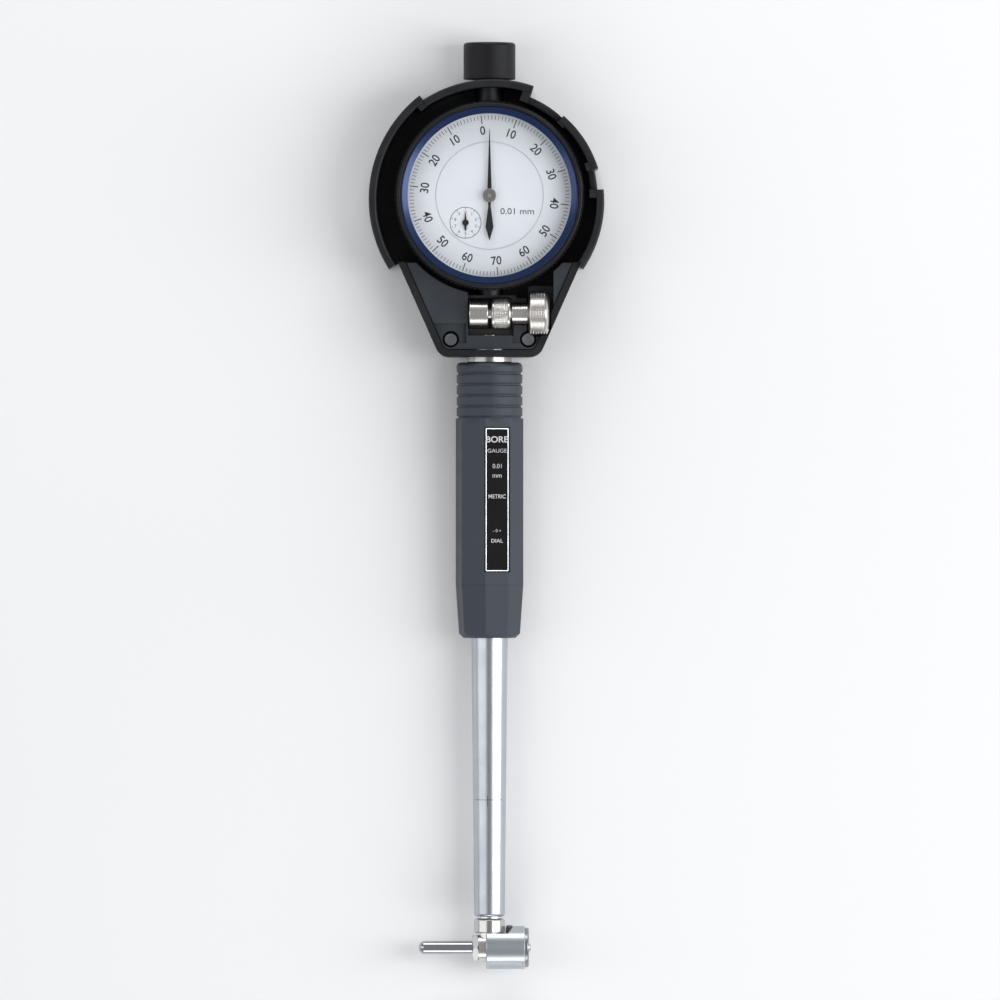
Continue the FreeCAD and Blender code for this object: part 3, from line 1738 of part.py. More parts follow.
def rack_pinion():
    """The pinion that meshes with the spindle's rack, turned so that its teeth meet the rack's gaps."""
    phase = (arbor_y - rack_bottom_y) / rack_pitch
    shift = (phase - math.floor(phase)) * 360 / pinion_teeth
    bottom = axis_z - pinion_thickness / 2
    root = pinion_radius - rack_tooth_height * 0.7
    tip = pinion_radius + rack_tooth_height / 3
    return toothed_disc(
        root, tip, pinion_teeth, bottom, bottom + pinion_thickness, arbor_x, arbor_y, 0.5, 0.16, -shift
    )


def rack_wheel():
    """Arbor with the rack pinion, a large wheel and the counter's pinion."""
    toward_counter = tooth_facing(arbor_x, arbor_y, counter_x, counter_y)
    return fused(
        [
            arbor(arbor_x, arbor_y),
            rack_pinion(),
            large_wheel(arbor_x, arbor_y),
            counter_gear(counter_pinion_teeth, arbor_x, arbor_y, toward_counter),
        ]
    )


def hairspring_wheel():
    return fused([arbor(-arbor_x, -arbor_y), large_wheel(-arbor_x, -arbor_y)])


def centre_arbor():
    """The pointer's arbor, with its pinion between the two large wheels."""
    turn = arbor_direction + 180 / centre_pinion_teeth
    pinion_top_z = wheel_z + wheel_thickness + centre_pinion_overlap
    pinion = gear(centre_pinion_teeth, wheel_module, centre_pinion_z, pinion_top_z, 0, 0, turn)
    bottom = bridge_z + dial_edge_clearance
    bridge_top = bottom + bridge_thickness
    top = hub_top_z - hub_pin_sink
    shaft = turned(
        [
            (bottom, 0),
            (bottom, pivot_radius),
            (bridge_top, pivot_radius),
            (bridge_top, arbor_radius),
            (top, arbor_radius),
            (top, 0),
        ]
    )
    return fused([shaft, pinion])


def hairspring():
    """A flat spiral about the hairspring arbor, in front of the rear plate."""
    outer = []
    inner = []
    for index in range(hairspring_turns * 24 + 1):
        radius = hairspring_start_radius + hairspring_pitch * index / 24
        angle = 360 * index / 24
        outer.append(polar(radius + hairspring_thickness / 2, angle, -arbor_x, -arbor_y))
        inner.append(polar(radius - hairspring_thickness / 2, angle, -arbor_x, -arbor_y))
    bottom = rear_plate_top_z + hairspring_gap
    top = bottom + hairspring_height
    strip = prism(outer + inner[::-1], bottom, top)
    collet = ring(hairspring_start_radius, arbor_radius + fit_clearance, bottom, top, -arbor_x, -arbor_y)
    return fused([strip, collet])


def counter_wheel():
    turn = tooth_facing(counter_x, counter_y, arbor_x, arbor_y) + 180 / counter_wheel_teeth
    wheel = counter_gear(counter_wheel_teeth, counter_x, counter_y, turn)
    shoulder = front_plate_z - arbor_end_play
    top = dial_top_z + counter_pointer_gap + pointer_thickness
    shaft = turned(
        [
            (counter_wheel_z, 0),
            (counter_wheel_z, arbor_radius),
            (shoulder, arbor_radius),
            (shoulder, pivot_radius),
            (top, pivot_radius),
            (top, 0),
        ],
        vector(counter_x, counter_y, 0),
    )
    return fused([wheel, shaft])


def both_sides(right):
    """A closed outline from its right side, mirrored in the Y axis."""
    return right + [(-corner[0], *corner[1:]) for corner in right[::-1]]


def pointer():
    tip = pointer_tip_width / 2
    side = [
        (tip, pointer_length),
        (pointer_base_width / 2, 0),
        (pointer_neck_width / 2, -hub_radius * 1.5),
        (pointer_spade_width / 2, pointer_spade_y, large_edge),
        (tip, -pointer_tail),
    ]
    eye = disc(arbor_radius + 2 * pointer_eye_wall, pointer_z, pointer_top_z)
    blade = fused([prism(both_sides(side), pointer_z, pointer_top_z), eye])
    return blade.cut(disc(arbor_radius + pointer_eye_wall, pointer_z, pointer_top_z))


def pointer_hub():
    bore = arbor_radius + fit_clearance
    inner = arbor_radius + pointer_eye_wall - fit_clearance
    return turned(
        [
            (hub_bottom_z, bore),
            (hub_bottom_z, inner),
            (pointer_top_z, inner),
            (pointer_top_z, hub_radius),
            (hub_top_z, hub_radius, small_edge),
            (hub_top_z, bore),
        ]
    )


def counter_pointer():
    bottom = dial_top_z + counter_pointer_gap
    top = bottom + pointer_thickness
    base = counter_hub_radius * 0.4
    side = [(pointer_tip_width / 2, counter_pointer_length), (base, 0), (base * 0.6, -counter_pointer_tail)]
    hub = disc(counter_hub_radius, bottom, top + pointer_thickness)
    hand = fused([prism(both_sides(side), bottom, top), hub])
    hand = hand.cut(disc(pivot_radius + fit_clearance, bottom, top))
    hand.translate(vector(counter_x, counter_y, 0))
    return hand


SUBPARTS = [
    guard_shell,
    guard_front_plate,
    guard_screws,
    clamp_block,
    cotter_left,
    cotter_right,
    clamp_screw,
    clamp_spacer,
    clamp_knob,
    holder_neck,
    grip,
    label_plate,
    tube,
    push_rod,
    rod_end_pad,
    rod_guide_upper,
    rod_guide_lower,
    rod_return_spring,
    rod_foot,
    head_body,
    head_collar,
    contact_bush,
    contact_plunger,
    contact_tip,
    guide_sleeve,
    guide_end_ring,
    guide_key_pin,
    guide_spring,
    anvil_rod,
    anvil_nut,
    indicator_case,
    case_back_cover,
    case_back_screws,
    stem_bush,
    spindle_top_bush,
    dust_cap,
    return_spring,
    bezel_retaining_ring,
    bezel,
    bezel_trim_ring,
    crystal,
    crystal_gasket,
    dial_scale_ring,
    dial_centre,
    spindle,
    spindle_contact,
    rack_guide_pin,
    movement_rear_plate,
    movement_front_plate,
    movement_pillars,
    movement_screws,
    centre_bridge,
    rack_wheel,
    hairspring_wheel,
    hairspring,
    centre_arbor,
    counter_wheel,
    pointer,
    pointer_hub,
    counter_pointer,
]

os.makedirs("parts", exist_ok=True)
for build in SUBPARTS:
    build().exportStep(f"parts/{build.__name__}.step")
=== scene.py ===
import json
import math
import bmesh
import bpy
from mathutils import Matrix, Vector

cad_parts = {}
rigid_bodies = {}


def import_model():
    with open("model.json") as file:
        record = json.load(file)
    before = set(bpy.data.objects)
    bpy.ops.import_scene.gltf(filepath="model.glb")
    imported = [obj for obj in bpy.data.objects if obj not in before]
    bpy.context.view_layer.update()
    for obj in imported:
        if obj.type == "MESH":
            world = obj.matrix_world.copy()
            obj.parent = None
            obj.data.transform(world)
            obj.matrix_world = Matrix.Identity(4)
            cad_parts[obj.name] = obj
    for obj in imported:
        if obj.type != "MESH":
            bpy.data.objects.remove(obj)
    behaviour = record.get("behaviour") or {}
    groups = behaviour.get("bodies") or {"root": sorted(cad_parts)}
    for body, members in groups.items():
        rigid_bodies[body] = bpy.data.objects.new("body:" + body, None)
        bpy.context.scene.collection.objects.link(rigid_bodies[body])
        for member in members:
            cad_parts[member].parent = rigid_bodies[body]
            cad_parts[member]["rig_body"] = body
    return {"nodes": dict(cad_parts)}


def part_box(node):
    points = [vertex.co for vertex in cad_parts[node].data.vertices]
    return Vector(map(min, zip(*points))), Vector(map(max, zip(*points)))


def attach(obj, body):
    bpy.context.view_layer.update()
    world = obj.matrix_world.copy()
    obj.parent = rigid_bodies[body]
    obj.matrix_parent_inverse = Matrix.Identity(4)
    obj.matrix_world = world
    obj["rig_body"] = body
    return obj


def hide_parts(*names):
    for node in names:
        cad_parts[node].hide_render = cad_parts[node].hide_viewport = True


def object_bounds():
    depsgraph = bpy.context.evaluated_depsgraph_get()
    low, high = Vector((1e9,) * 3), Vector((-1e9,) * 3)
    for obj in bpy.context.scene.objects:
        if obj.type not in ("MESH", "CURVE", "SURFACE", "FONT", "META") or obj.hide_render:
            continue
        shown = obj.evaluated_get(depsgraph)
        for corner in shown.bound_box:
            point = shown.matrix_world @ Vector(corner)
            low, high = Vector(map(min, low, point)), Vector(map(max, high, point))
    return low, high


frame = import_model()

# Dial bore gauge, dressed over its CAD frame. Everything is in metres, in the CAD's frame: X along the
# measuring line, Y along the instrument towards the dust cap, Z out of the dial.

MM = 0.001
cad_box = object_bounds()
nodes = frame["nodes"]


# ---------------------------------------------------------------- shader helpers

def link(tree, source, target):
    tree.links.new(source, target)


def add(tree, kind, **values):
    node = tree.nodes.new(kind)
    for key, value in values.items():
        setattr(node, key, value)
    return node


def math_node(tree, operation, first, second=None, third=None):
    """A math node fed by sockets or plain numbers."""
    node = add(tree, "ShaderNodeMath", operation=operation)
    for index, value in enumerate((first, second, third)):
        if value is None:
            continue
        if isinstance(value, (int, float)):
            node.inputs[index].default_value = value
        else:
            link(tree, value, node.inputs[index])
    return node.outputs[0]


def blank(name):
    mat = bpy.data.materials.new(name)
    mat.use_nodes = True
    tree = mat.node_tree
    shader = tree.nodes["Principled BSDF"]
    return mat, tree, shader


def coordinates(tree, stretch):
    """Object coordinates in units of the grain: stretch is grains per millimetre along X, Y and Z."""
    where = add(tree, "ShaderNodeTexCoord")
    scaled = add(tree, "ShaderNodeMapping")
    scaled.inputs["Scale"].default_value = [1000 * value for value in stretch]
    link(tree, where.outputs["Object"], scaled.inputs["Vector"])
    return scaled.outputs["Vector"]


def noise(tree, stretch, detail=3.0, rough=0.5):
    texture = add(tree, "ShaderNodeTexNoise")
    texture.inputs["Scale"].default_value = 1.0
    texture.inputs["Detail"].default_value = detail
    texture.inputs["Roughness"].default_value = rough
    link(tree, coordinates(tree, stretch), texture.inputs["Vector"])
    return texture.outputs["Fac"]


def between(tree, value, low, high, start=0.3, end=0.7):
    spread = add(tree, "ShaderNodeMapRange")
    spread.inputs["From Min"].default_value = start
    spread.inputs["From Max"].default_value = end
    spread.inputs["To Min"].default_value = low
    spread.inputs["To Max"].default_value = high
    link(tree, value, spread.inputs["Value"])
    return spread.outputs["Result"]


def blend_colour(tree, fac, first, second):
    """first where fac is 0, second where it is 1; each a colour or a socket."""
    mix = add(tree, "ShaderNodeMix", data_type="RGBA")
    if isinstance(fac, (int, float)):
        mix.inputs["Factor"].default_value = fac
    else:
        link(tree, fac, mix.inputs["Factor"])
    for key, value in (("A", first), ("B", second)):
        socket = [s for s in mix.inputs if s.name == key and s.type == "RGBA"][0]
        if isinstance(value, tuple):
            socket.default_value = (*value, 1.0)
        else:
            link(tree, value, socket)
    return [s for s in mix.outputs if s.type == "RGBA"][0]


def relief(tree, shader, height, distance, strength=1.0):
    bump = add(tree, "ShaderNodeBump")
    bump.inputs["Strength"].default_value = strength
    bump.inputs["Distance"].default_value = distance * MM
    link(tree, height, bump.inputs["Height"])
    link(tree, bump.outputs["Normal"], shader.inputs["Normal"])
    return bump


def moulded(name, colour, shade, roughness, grain=2.2, depth=0.02, spec=0.5, marks=None):
    """Moulded plastic: a fine pitted grain, slow colour drift and duller and shinier patches."""
    mat, tree, shader = blank(name)
    fine = noise(tree, (grain, grain, grain), 2.0)
    slow = noise(tree, (0.12, 0.12, 0.12), 3.0)
    tone = blend_colour(tree, between(tree, slow, 0.0, 1.0), colour, shade)
    if marks:
        tone = marks(tree, tone)
    link(tree, tone, shader.inputs["Base Color"])
    link(tree, between(tree, slow, roughness - 0.06, roughness + 0.06), shader.inputs["Roughness"])
    shader.inputs["Specular IOR Level"].default_value = spec
    relief(tree, shader, fine, depth, 0.8)
    return mat


def metal(name, colour, shade, roughness, stretch, depth=0.006, drift=0.15, spread=0.05):
    """Metal with fine tool or polishing marks; stretch sets the marks' direction."""
    mat, tree, shader = blank(name)
    fine = noise(tree, stretch, 2.0, 0.6)
    slow = noise(tree, (drift, drift, drift), 2.0)
    tone = blend_colour(tree, between(tree, slow, 0.0, 1.0), colour, shade)
    link(tree, tone, shader.inputs["Base Color"])
    mixed = math_node(tree, "ADD", math_node(tree, "MULTIPLY", fine, 0.6), math_node(tree, "MULTIPLY", slow, 0.4))
    link(tree, between(tree, mixed, roughness - spread, roughness + spread), shader.inputs["Roughness"])
    shader.inputs["Metallic"].default_value = 1.0
    relief(tree, shader, fine, depth, 0.6)
    return mat


# ---------------------------------------------------------------- materials

ROUND_Y = (0.05, 9.0, 0.05)      # turning marks about Y
ROUND_X = (9.0, 0.05, 0.05)      # turning marks about X
ALONG_Y = (7.0, 0.12, 7.0)       # polishing marks along Y

guard_black = moulded("guard_black", (0.009, 0.009, 0.011), (0.015, 0.015, 0.018), 0.46, 2.2, 0.02, 0.3)
guard_slate = moulded("guard_slate", (0.022, 0.026, 0.033), (0.030, 0.035, 0.043), 0.45)


def grip_marks(tree, tone):
    """The fine parting line where the taper begins."""
    split = add(tree, "ShaderNodeSeparateXYZ")
    link(tree, coordinates(tree, (1.0, 1.0, 1.0)), split.inputs[0])
    away = math_node(tree, "ABSOLUTE", math_node(tree, "SUBTRACT", split.outputs["Y"], -116.8))
    on_line = math_node(tree, "LESS_THAN", away, 0.11)
    return blend_colour(tree, math_node(tree, "MULTIPLY", on_line, 0.5), tone, (0.01, 0.012, 0.016))


grip_slate = moulded(
    "grip_slate", (0.040, 0.048, 0.065), (0.046, 0.055, 0.073), 0.5, 1.8, 0.018, 0.35, grip_marks
)
clamp_black = moulded("clamp_black", (0.008, 0.008, 0.009), (0.014, 0.014, 0.015), 0.5)
nickel = metal("nickel", (0.72, 0.69, 0.65), (0.66, 0.63, 0.60), 0.27, ROUND_X, 0.002)
nickel_neck = metal("nickel_neck", (0.40, 0.385, 0.37), (0.35, 0.34, 0.33), 0.24, ROUND_Y, 0.002)
steel = metal("steel", (0.62, 0.62, 0.62), (0.56, 0.56, 0.56), 0.3, ROUND_Y)
dark_steel = metal("dark_steel", (0.20, 0.20, 0.21), (0.14, 0.145, 0.15), 0.3, ROUND_X)
screw_steel = metal("screw_steel", (0.42, 0.43, 0.44), (0.30, 0.31, 0.32), 0.3, (4.0, 4.0, 0.1), 0.01)
nut_steel = metal("nut_steel", (0.34, 0.35, 0.36), (0.28, 0.29, 0.30), 0.32, ROUND_X, 0.002)
spring_steel = metal("spring_steel", (0.5, 0.5, 0.5), (0.45, 0.45, 0.45), 0.3, (3.0, 3.0, 3.0))
polished_rod = metal("polished_rod", (0.50, 0.51, 0.53), (0.46, 0.47, 0.50), 0.14, ROUND_X, 0.003, 0.15, 0.03)
satin_tube = metal("satin_tube", (0.50, 0.53, 0.57), (0.46, 0.49, 0.54), 0.30, ALONG_Y, 0.004)
satin_head = metal("satin_head", (0.56, 0.60, 0.64), (0.50, 0.54, 0.58), 0.34, ROUND_X, 0.003)
collar_metal = metal("collar_metal", (0.58, 0.56, 0.55), (0.52, 0.51, 0.50), 0.2, ROUND_Y, 0.004)
case_metal = metal("case_metal", (0.05, 0.05, 0.055), (0.04, 0.04, 0.045), 0.45, (0.3, 0.3, 8.0))
cap_black = moulded("cap_black", (0.008, 0.008, 0.010), (0.012, 0.012, 0.014), 0.45, 2.5, 0.012, 0.22)
bezel_black = moulded("bezel_black", (0.007, 0.007, 0.009), (0.011, 0.011, 0.014), 0.42, 3.0, 0.01, 0.28)
gasket_rubber = moulded("gasket_rubber", (0.02, 0.02, 0.02), (0.03, 0.03, 0.03), 0.7)
dial_white = moulded("dial_white", (0.86, 0.89, 0.93), (0.89, 0.915, 0.945), 0.55, 1.0, 0.002, 0.3)
label_black = moulded("label_black", (0.004, 0.004, 0.005), (0.006, 0.006, 0.007), 0.5, 4.0, 0.004, 0.1)
brass = metal("brass", (0.72, 0.56, 0.30), (0.64, 0.50, 0.27), 0.3, ROUND_Y)
hand_black = moulded("hand_black", (0.006, 0.006, 0.007), (0.010, 0.010, 0.011), 0.45, 3.0, 0.003)
hub_metal = metal("hub_metal", (0.42, 0.39, 0.35), (0.34, 0.32, 0.29), 0.32, (4.0, 4.0, 4.0), 0.01)
ink_black = moulded("ink_black", (0.010, 0.010, 0.013), (0.018, 0.018, 0.022), 0.6, 3.0, 0.002)
ink_grey = moulded("ink_grey", (0.055, 0.06, 0.07), (0.075, 0.08, 0.09), 0.6, 3.0, 0.002)
ink_white = moulded("ink_white", (0.62, 0.63, 0.64), (0.52, 0.53, 0.55), 0.5, 3.0, 0.002)
silver_line = metal("silver_line", (0.72, 0.73, 0.75), (0.62, 0.63, 0.65), 0.3, (3.0, 3.0, 3.0))


def anodised_blue():
    mat, tree, shader = blank("trim_blue")
    fine = noise(tree, (6.0, 6.0, 6.0), 2.0)
    tone = blend_colour(tree, between(tree, fine, 0.0, 1.0), (0.006, 0.022, 0.085), (0.010, 0.032, 0.115))
    link(tree, tone, shader.inputs["Base Color"])
    link(tree, between(tree, fine, 0.24, 0.34), shader.inputs["Roughness"])
    shader.inputs["Metallic"].default_value = 0.6
    shader.inputs["Coat Weight"].default_value = 0.4
    shader.inputs["Coat Roughness"].default_value = 0.15
    relief(tree, shader, fine, 0.003, 0.5)
    return mat


def clear_crystal():
    """Clear acrylic: almost invisible, with a faint cool tint and a few hairline rubs in its gloss."""
    mat, tree, shader = blank("crystal")
    rubs = noise(tree, (0.4, 3.0, 1.0), 4.0)
    tone = blend_colour(tree, between(tree, rubs, 0.0, 1.0), (0.86, 0.90, 0.96), (0.90, 0.94, 1.0))
    link(tree, tone, shader.inputs["Base Color"])
    link(tree, between(tree, rubs, 0.03, 0.08), shader.inputs["Roughness"])
    shader.inputs["Transmission Weight"].default_value = 1.0
    shader.inputs["Alpha"].default_value = 0.12
    mat.surface_render_method = "BLENDED"
    return mat


trim_blue = anodised_blue()
crystal_clear = clear_crystal()

by_slot = {
    "guard_black": guard_black, "guard_slate": guard_slate, "grip_slate": grip_slate,
    "clamp_black": clamp_black, "nickel": nickel, "steel": steel, "dark_steel": dark_steel,
    "spring_steel": spring_steel, "polished_rod": polished_rod, "satin_tube": satin_tube,
    "satin_head": satin_head, "case_metal": case_metal, "cap_black": cap_black,
    "bezel_black": bezel_black, "trim_blue": trim_blue, "crystal": crystal_clear,
    "gasket_rubber": gasket_rubber, "dial_white": dial_white, "label_black": label_black,
    "brass_bush": brass, "movement_brass": brass, "hand_black": hand_black, "hub_metal": hub_metal,
}
by_node = {
    "holder_neck": nickel_neck, "head_collar": collar_metal, "guard_screws": screw_steel,
    "anvil_nut": nut_steel, "guide_end_ring": nut_steel,
}


def paint(obj, mat):
    obj.data.materials.clear()
    obj.data.materials.append(mat)


for name, node in nodes.items():
    old = node.material_slots[0].material.name.split(".")[0] if node.material_slots else ""
    paint(node, by_node.get(name) or by_slot.get(old) or steel)


# ---------------------------------------------------------------- mesh helpers

def piece(name, mesh, mat, body, stands_for=()):
    obj = bpy.data.objects.new(name, mesh)
    bpy.context.scene.collection.objects.link(obj)
    obj.data.materials.clear()
    obj.data.materials.append(mat)
    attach(obj, body)
    if stands_for:
        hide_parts(*stands_for)
    return obj


def raw_mesh(name, verts, faces):
    mesh = bpy.data.meshes.new(name)
    mesh.from_pydata(verts, [], faces)
    mesh.update()
    return mesh


def knurl(turn, along, starts, pitch):
    """The depth of a diamond knurl's groove, 0 at a peak and 1 at the bottom."""
    around = starts * turn / (2 * math.pi)
    first = abs(2 * ((around + along / pitch) % 1) - 1)
    second = abs(2 * ((around - along / pitch) % 1) - 1)
    return max(first, second)


def lathe(name, profile, centre, segments, starts=0, pitch=1.0, depth=0.0, rough_parts=(), arc=None):
    """A closed body turned about the X axis through centre.

    profile: (x, radius) corners in millimetres. Between the x values of a rough part the surface is knurled,
    within arc radians of the -Y side where an arc is given."""
    rings = []
    for (x0, r0), (x1, r1) in zip(profile, profile[1:] + profile[:1]):
        rough = any(low - 1e-6 <= min(x0, x1) and max(x0, x1) <= high + 1e-6 for low, high in rough_parts)
        rough = rough and r0 == r1 and x1 > x0
        steps = max(1, round(abs(x1 - x0) / (pitch / 7))) if rough else 1
        for index in range(steps):
            share = index / steps
            edge = 0.0 if index == 0 else 1.0
            rings.append((x0 + (x1 - x0) * share, r0 + (r1 - r0) * share, rough * edge))
    verts = []
    for x, radius, rough in rings:
        for index in range(segments):
            turn = 2 * math.pi * index / segments
            cut = rough * depth * knurl(turn, x, starts, pitch)
            if arc is not None:
                side = abs((turn % (2 * math.pi)) - math.pi)
                cut *= side < arc
            r = radius - cut
            verts.append(centre + Vector((x, r * math.cos(turn), r * math.sin(turn))) * MM)
    faces = []
    count = len(rings)
    for ring in range(count):
        following = (ring + 1) % count
        for index in range(segments):
            after = (index + 1) % segments
            a, b = ring * segments + index, ring * segments + after
            c, d = following * segments + after, following * segments + index
            faces.append((a, b, c, d))
    mesh = raw_mesh(name, verts, faces)
    bm = bmesh.new()
    bm.from_mesh(mesh)
    bmesh.ops.recalc_face_normals(bm, faces=bm.faces)
    bm.to_mesh(mesh)
    bm.free()
    return mesh


def soften(mesh, angle):
    for polygon in mesh.polygons:
        polygon.use_smooth = True
    mesh.set_sharp_from_angle(angle=math.radians(angle))


def carve(mesh, cutters):
    """The mesh less each cutter mesh."""
    scene = bpy.context.scene.collection
    body = bpy.data.objects.new("carved", mesh)
    scene.objects.link(body)
    tools = []
    for cutter in cutters:
        tool = bpy.data.objects.new("cutter", cutter)
        scene.objects.link(tool)
        step = body.modifiers.new("cut", "BOOLEAN")
        step.operation = "DIFFERENCE"
        step.solver = "EXACT"
        step.object = tool
        tools.append(tool)
    bpy.context.view_layer.update()
    result = bpy.data.meshes.new_from_object(body.evaluated_get(bpy.context.evaluated_depsgraph_get()))
    for obj in [body, *tools]:
        bpy.data.objects.remove(obj)
    return result


def rod_mesh(radius, start, end, axis, segments=96):
    """A plain cutter cylinder between two points given in metres."""
    bm = bmesh.new()
    bmesh.ops.create_cone(
        bm, cap_ends=True, segments=segments, radius1=radius, radius2=radius, depth=(end - start).length
    )
    turn = Vector((0, 0, 1)).rotation_difference(axis).to_matrix().to_4x4()
    bmesh.ops.transform(bm, matrix=Matrix.Translation((start + end) / 2) @ turn, verts=bm.verts)
    mesh = bpy.data.meshes.new("rod")
    bm.to_mesh(mesh)
    bm.free()
    return mesh


def slab_mesh(corners, low, high):
    """A cutter prism: an outline in X and Y raised from low to high in Z, all in metres."""
    count = len(corners)
    verts = [Vector((x, y, low)) for x, y in corners] + [Vector((x, y, high)) for x, y in corners]
    faces = [tuple(range(count))[::-1], tuple(range(count, 2 * count))]
    faces += [(i, (i + 1) % count, count + (i + 1) % count, count + i) for i in range(count)]
    mesh = raw_mesh("slab", verts, faces)
    bm = bmesh.new()
    bm.from_mesh(mesh)
    bmesh.ops.recalc_face_normals(bm, faces=bm.faces)
    bm.to_mesh(mesh)
    bm.free()
    return mesh


# ---------------------------------------------------------------- clamp knob and knurled cotter

def middle(node):
    low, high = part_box(node)
    return (low + high) / 2


def clamp_knob():
    low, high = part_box("clamp_knob")
    centre = Vector((0, middle("clamp_knob").y, middle("clamp_knob").z))
    left, right = low.x / MM, high.x / MM - 0.7
    radius = (high.y - low.y) / 2 / MM
    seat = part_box("clamp_screw")[1].x / MM + 0.02
    profile = [(left, 2.02), (left, radius - 0.7), (left + 0.12, radius - 0.5), (left + 0.5, radius - 0.02)]
    profile += [(left + 0.52, radius), (right - 0.62, radius), (right - 0.6, radius - 0.02)]
    for index in range(1, 13):
        turn = math.pi / 2 * index / 12
        profile.append((right - 0.6 + 1.3 * math.sin(turn), (radius - 0.05) - 3.4 * (1 - math.cos(turn))))
    profile += [(right + 0.7, 0.02), (seat, 0.02), (seat, 2.02)]
    band = [(left + 0.52, right - 0.62)]
    mesh = lathe("clamp_knob_knurled", profile, centre, 364, 52, 0.8, 0.24, band)
    soften(mesh, 14)
    return piece("clamp_knob_knurled", mesh, nickel, "thumb_screw", ("clamp_knob",))


def cotter_right():
    low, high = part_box("cotter_right")
    centre = Vector((0, middle("clamp_screw").y, middle("clamp_screw").z))
    left, right = low.x / MM, high.x / MM
    radius = (high.y - low.y) / 2 / MM
    profile = [(left, 2.06), (left, radius - 0.45), (left + 0.12, radius - 0.15), (left + 0.35, radius)]
    profile += [(left + 0.75, radius), (right - 0.75, radius), (right - 0.35, radius)]
    profile += [(right - 0.12, radius - 0.15), (right, radius - 0.45), (right, 2.06)]
    band = [(left + 0.75, right - 0.75)]
    mesh = lathe("cotter_knurled", profile, centre, 266, 38, 0.8, 0.2, band)
    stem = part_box("indicator_case")
    axis = Vector((0, 0, middle("tube").z))
    hollow = rod_mesh(4.06 * MM, axis + Vector((0, stem[0].y - 0.02, 0)), axis, Vector((0, 1, 0)))
    mesh = carve(mesh, [hollow])
    soften(mesh, 14)
    body = nodes["cotter_right"]["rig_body"]
    return piece("cotter_knurled", mesh, nickel, body, ("cotter_right",))


clamp_knob()
cotter_right()


# ---------------------------------------------------------------- guide sleeve with its knurled side

def guide_sleeve():
    low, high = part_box("guide_sleeve")
    axis_z = middle("tube").z
    radius = 6.5
    centre = Vector((0, low.y + radius * MM, axis_z))
    left, right = low.x / MM, high.x / MM
    bore = (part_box("contact_bush")[1].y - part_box("contact_bush")[0].y) / 2 / MM + 1.2
    bore = max(bore, 4.4)
    profile = [(left, bore), (left, radius - 0.3), (left + 0.1, radius - 0.08), (left + 0.3, radius)]
    profile += [(left + 0.9, radius), (right - 0.7, radius), (right - 0.2, radius)]
    profile += [(right, radius - 0.2), (right, bore)]
    band = [(left + 0.9, right - 0.7)]
    mesh = lathe("guide_sleeve_knurled", profile, centre, 392, 56, 0.73, 0.16, band, math.radians(52))
    flat = 4.3 * MM
    above = 9 * MM
    x0, x1 = low.x - 1 * MM, 5.5 * MM
    slope_x = 5.5 * MM + 1.8 * MM * (above - flat) / (radius * MM - flat)
    flat_cut = slab_mesh(
        [(x0, centre.y + flat), (x1, centre.y + flat), (slope_x, centre.y + above), (x0, centre.y + above)],
        axis_z - 9 * MM,
        axis_z + 9 * MM,
    )
    slot_half = 3.85 * MM
    slot_cut = slab_mesh(
        [
            (x0, centre.y),
            (slot_half + 1 * MM, centre.y),
            (slot_half + 1 * MM, centre.y + above),
            (x0, centre.y + above),
        ],
        axis_z - slot_half,
        axis_z + slot_half,
    )
    pin = middle("guide_key_pin")
    pin_cut = rod_mesh(
        1.22 * MM, Vector((pin.x, centre.y + flat, pin.z)), Vector((pin.x, centre.y + above, pin.z)),
        Vector((0, 1, 0)), 48,
    )
    mesh = carve(mesh, [flat_cut, slot_cut, pin_cut])
    soften(mesh, 20)
    return piece("guide_sleeve_knurled", mesh, satin_head, "guide", ("guide_sleeve",))


guide_sleeve()


# ---------------------------------------------------------------- print

def text_mesh(words, height, bold=0.0, width=1.0):
    """Flat lettering centred on the origin; height is that of a capital or a figure, in metres."""
    curve = bpy.data.curves.new("words", "FONT")
    curve.body = words
    curve.align_x = "CENTER"
    curve.align_y = "CENTER"
    curve.offset = bold
    holder = bpy.data.objects.new("words", curve)
    bpy.context.scene.collection.objects.link(holder)
    bpy.context.view_layer.update()
    mesh = bpy.data.meshes.new_from_object(holder.evaluated_get(bpy.context.evaluated_depsgraph_get()))
    bpy.data.objects.remove(holder)
    tall = max(v.co.y for v in mesh.vertices) - min(v.co.y for v in mesh.vertices)
    mid_y = (max(v.co.y for v in mesh.vertices) + min(v.co.y for v in mesh.vertices)) / 2
    mid_x = (max(v.co.x for v in mesh.vertices) + min(v.co.x for v in mesh.vertices)) / 2
    scale = height / tall
    for v in mesh.vertices:
        v.co = Vector(((v.co.x - mid_x) * scale * width, (v.co.y - mid_y) * scale, 0))
    return mesh


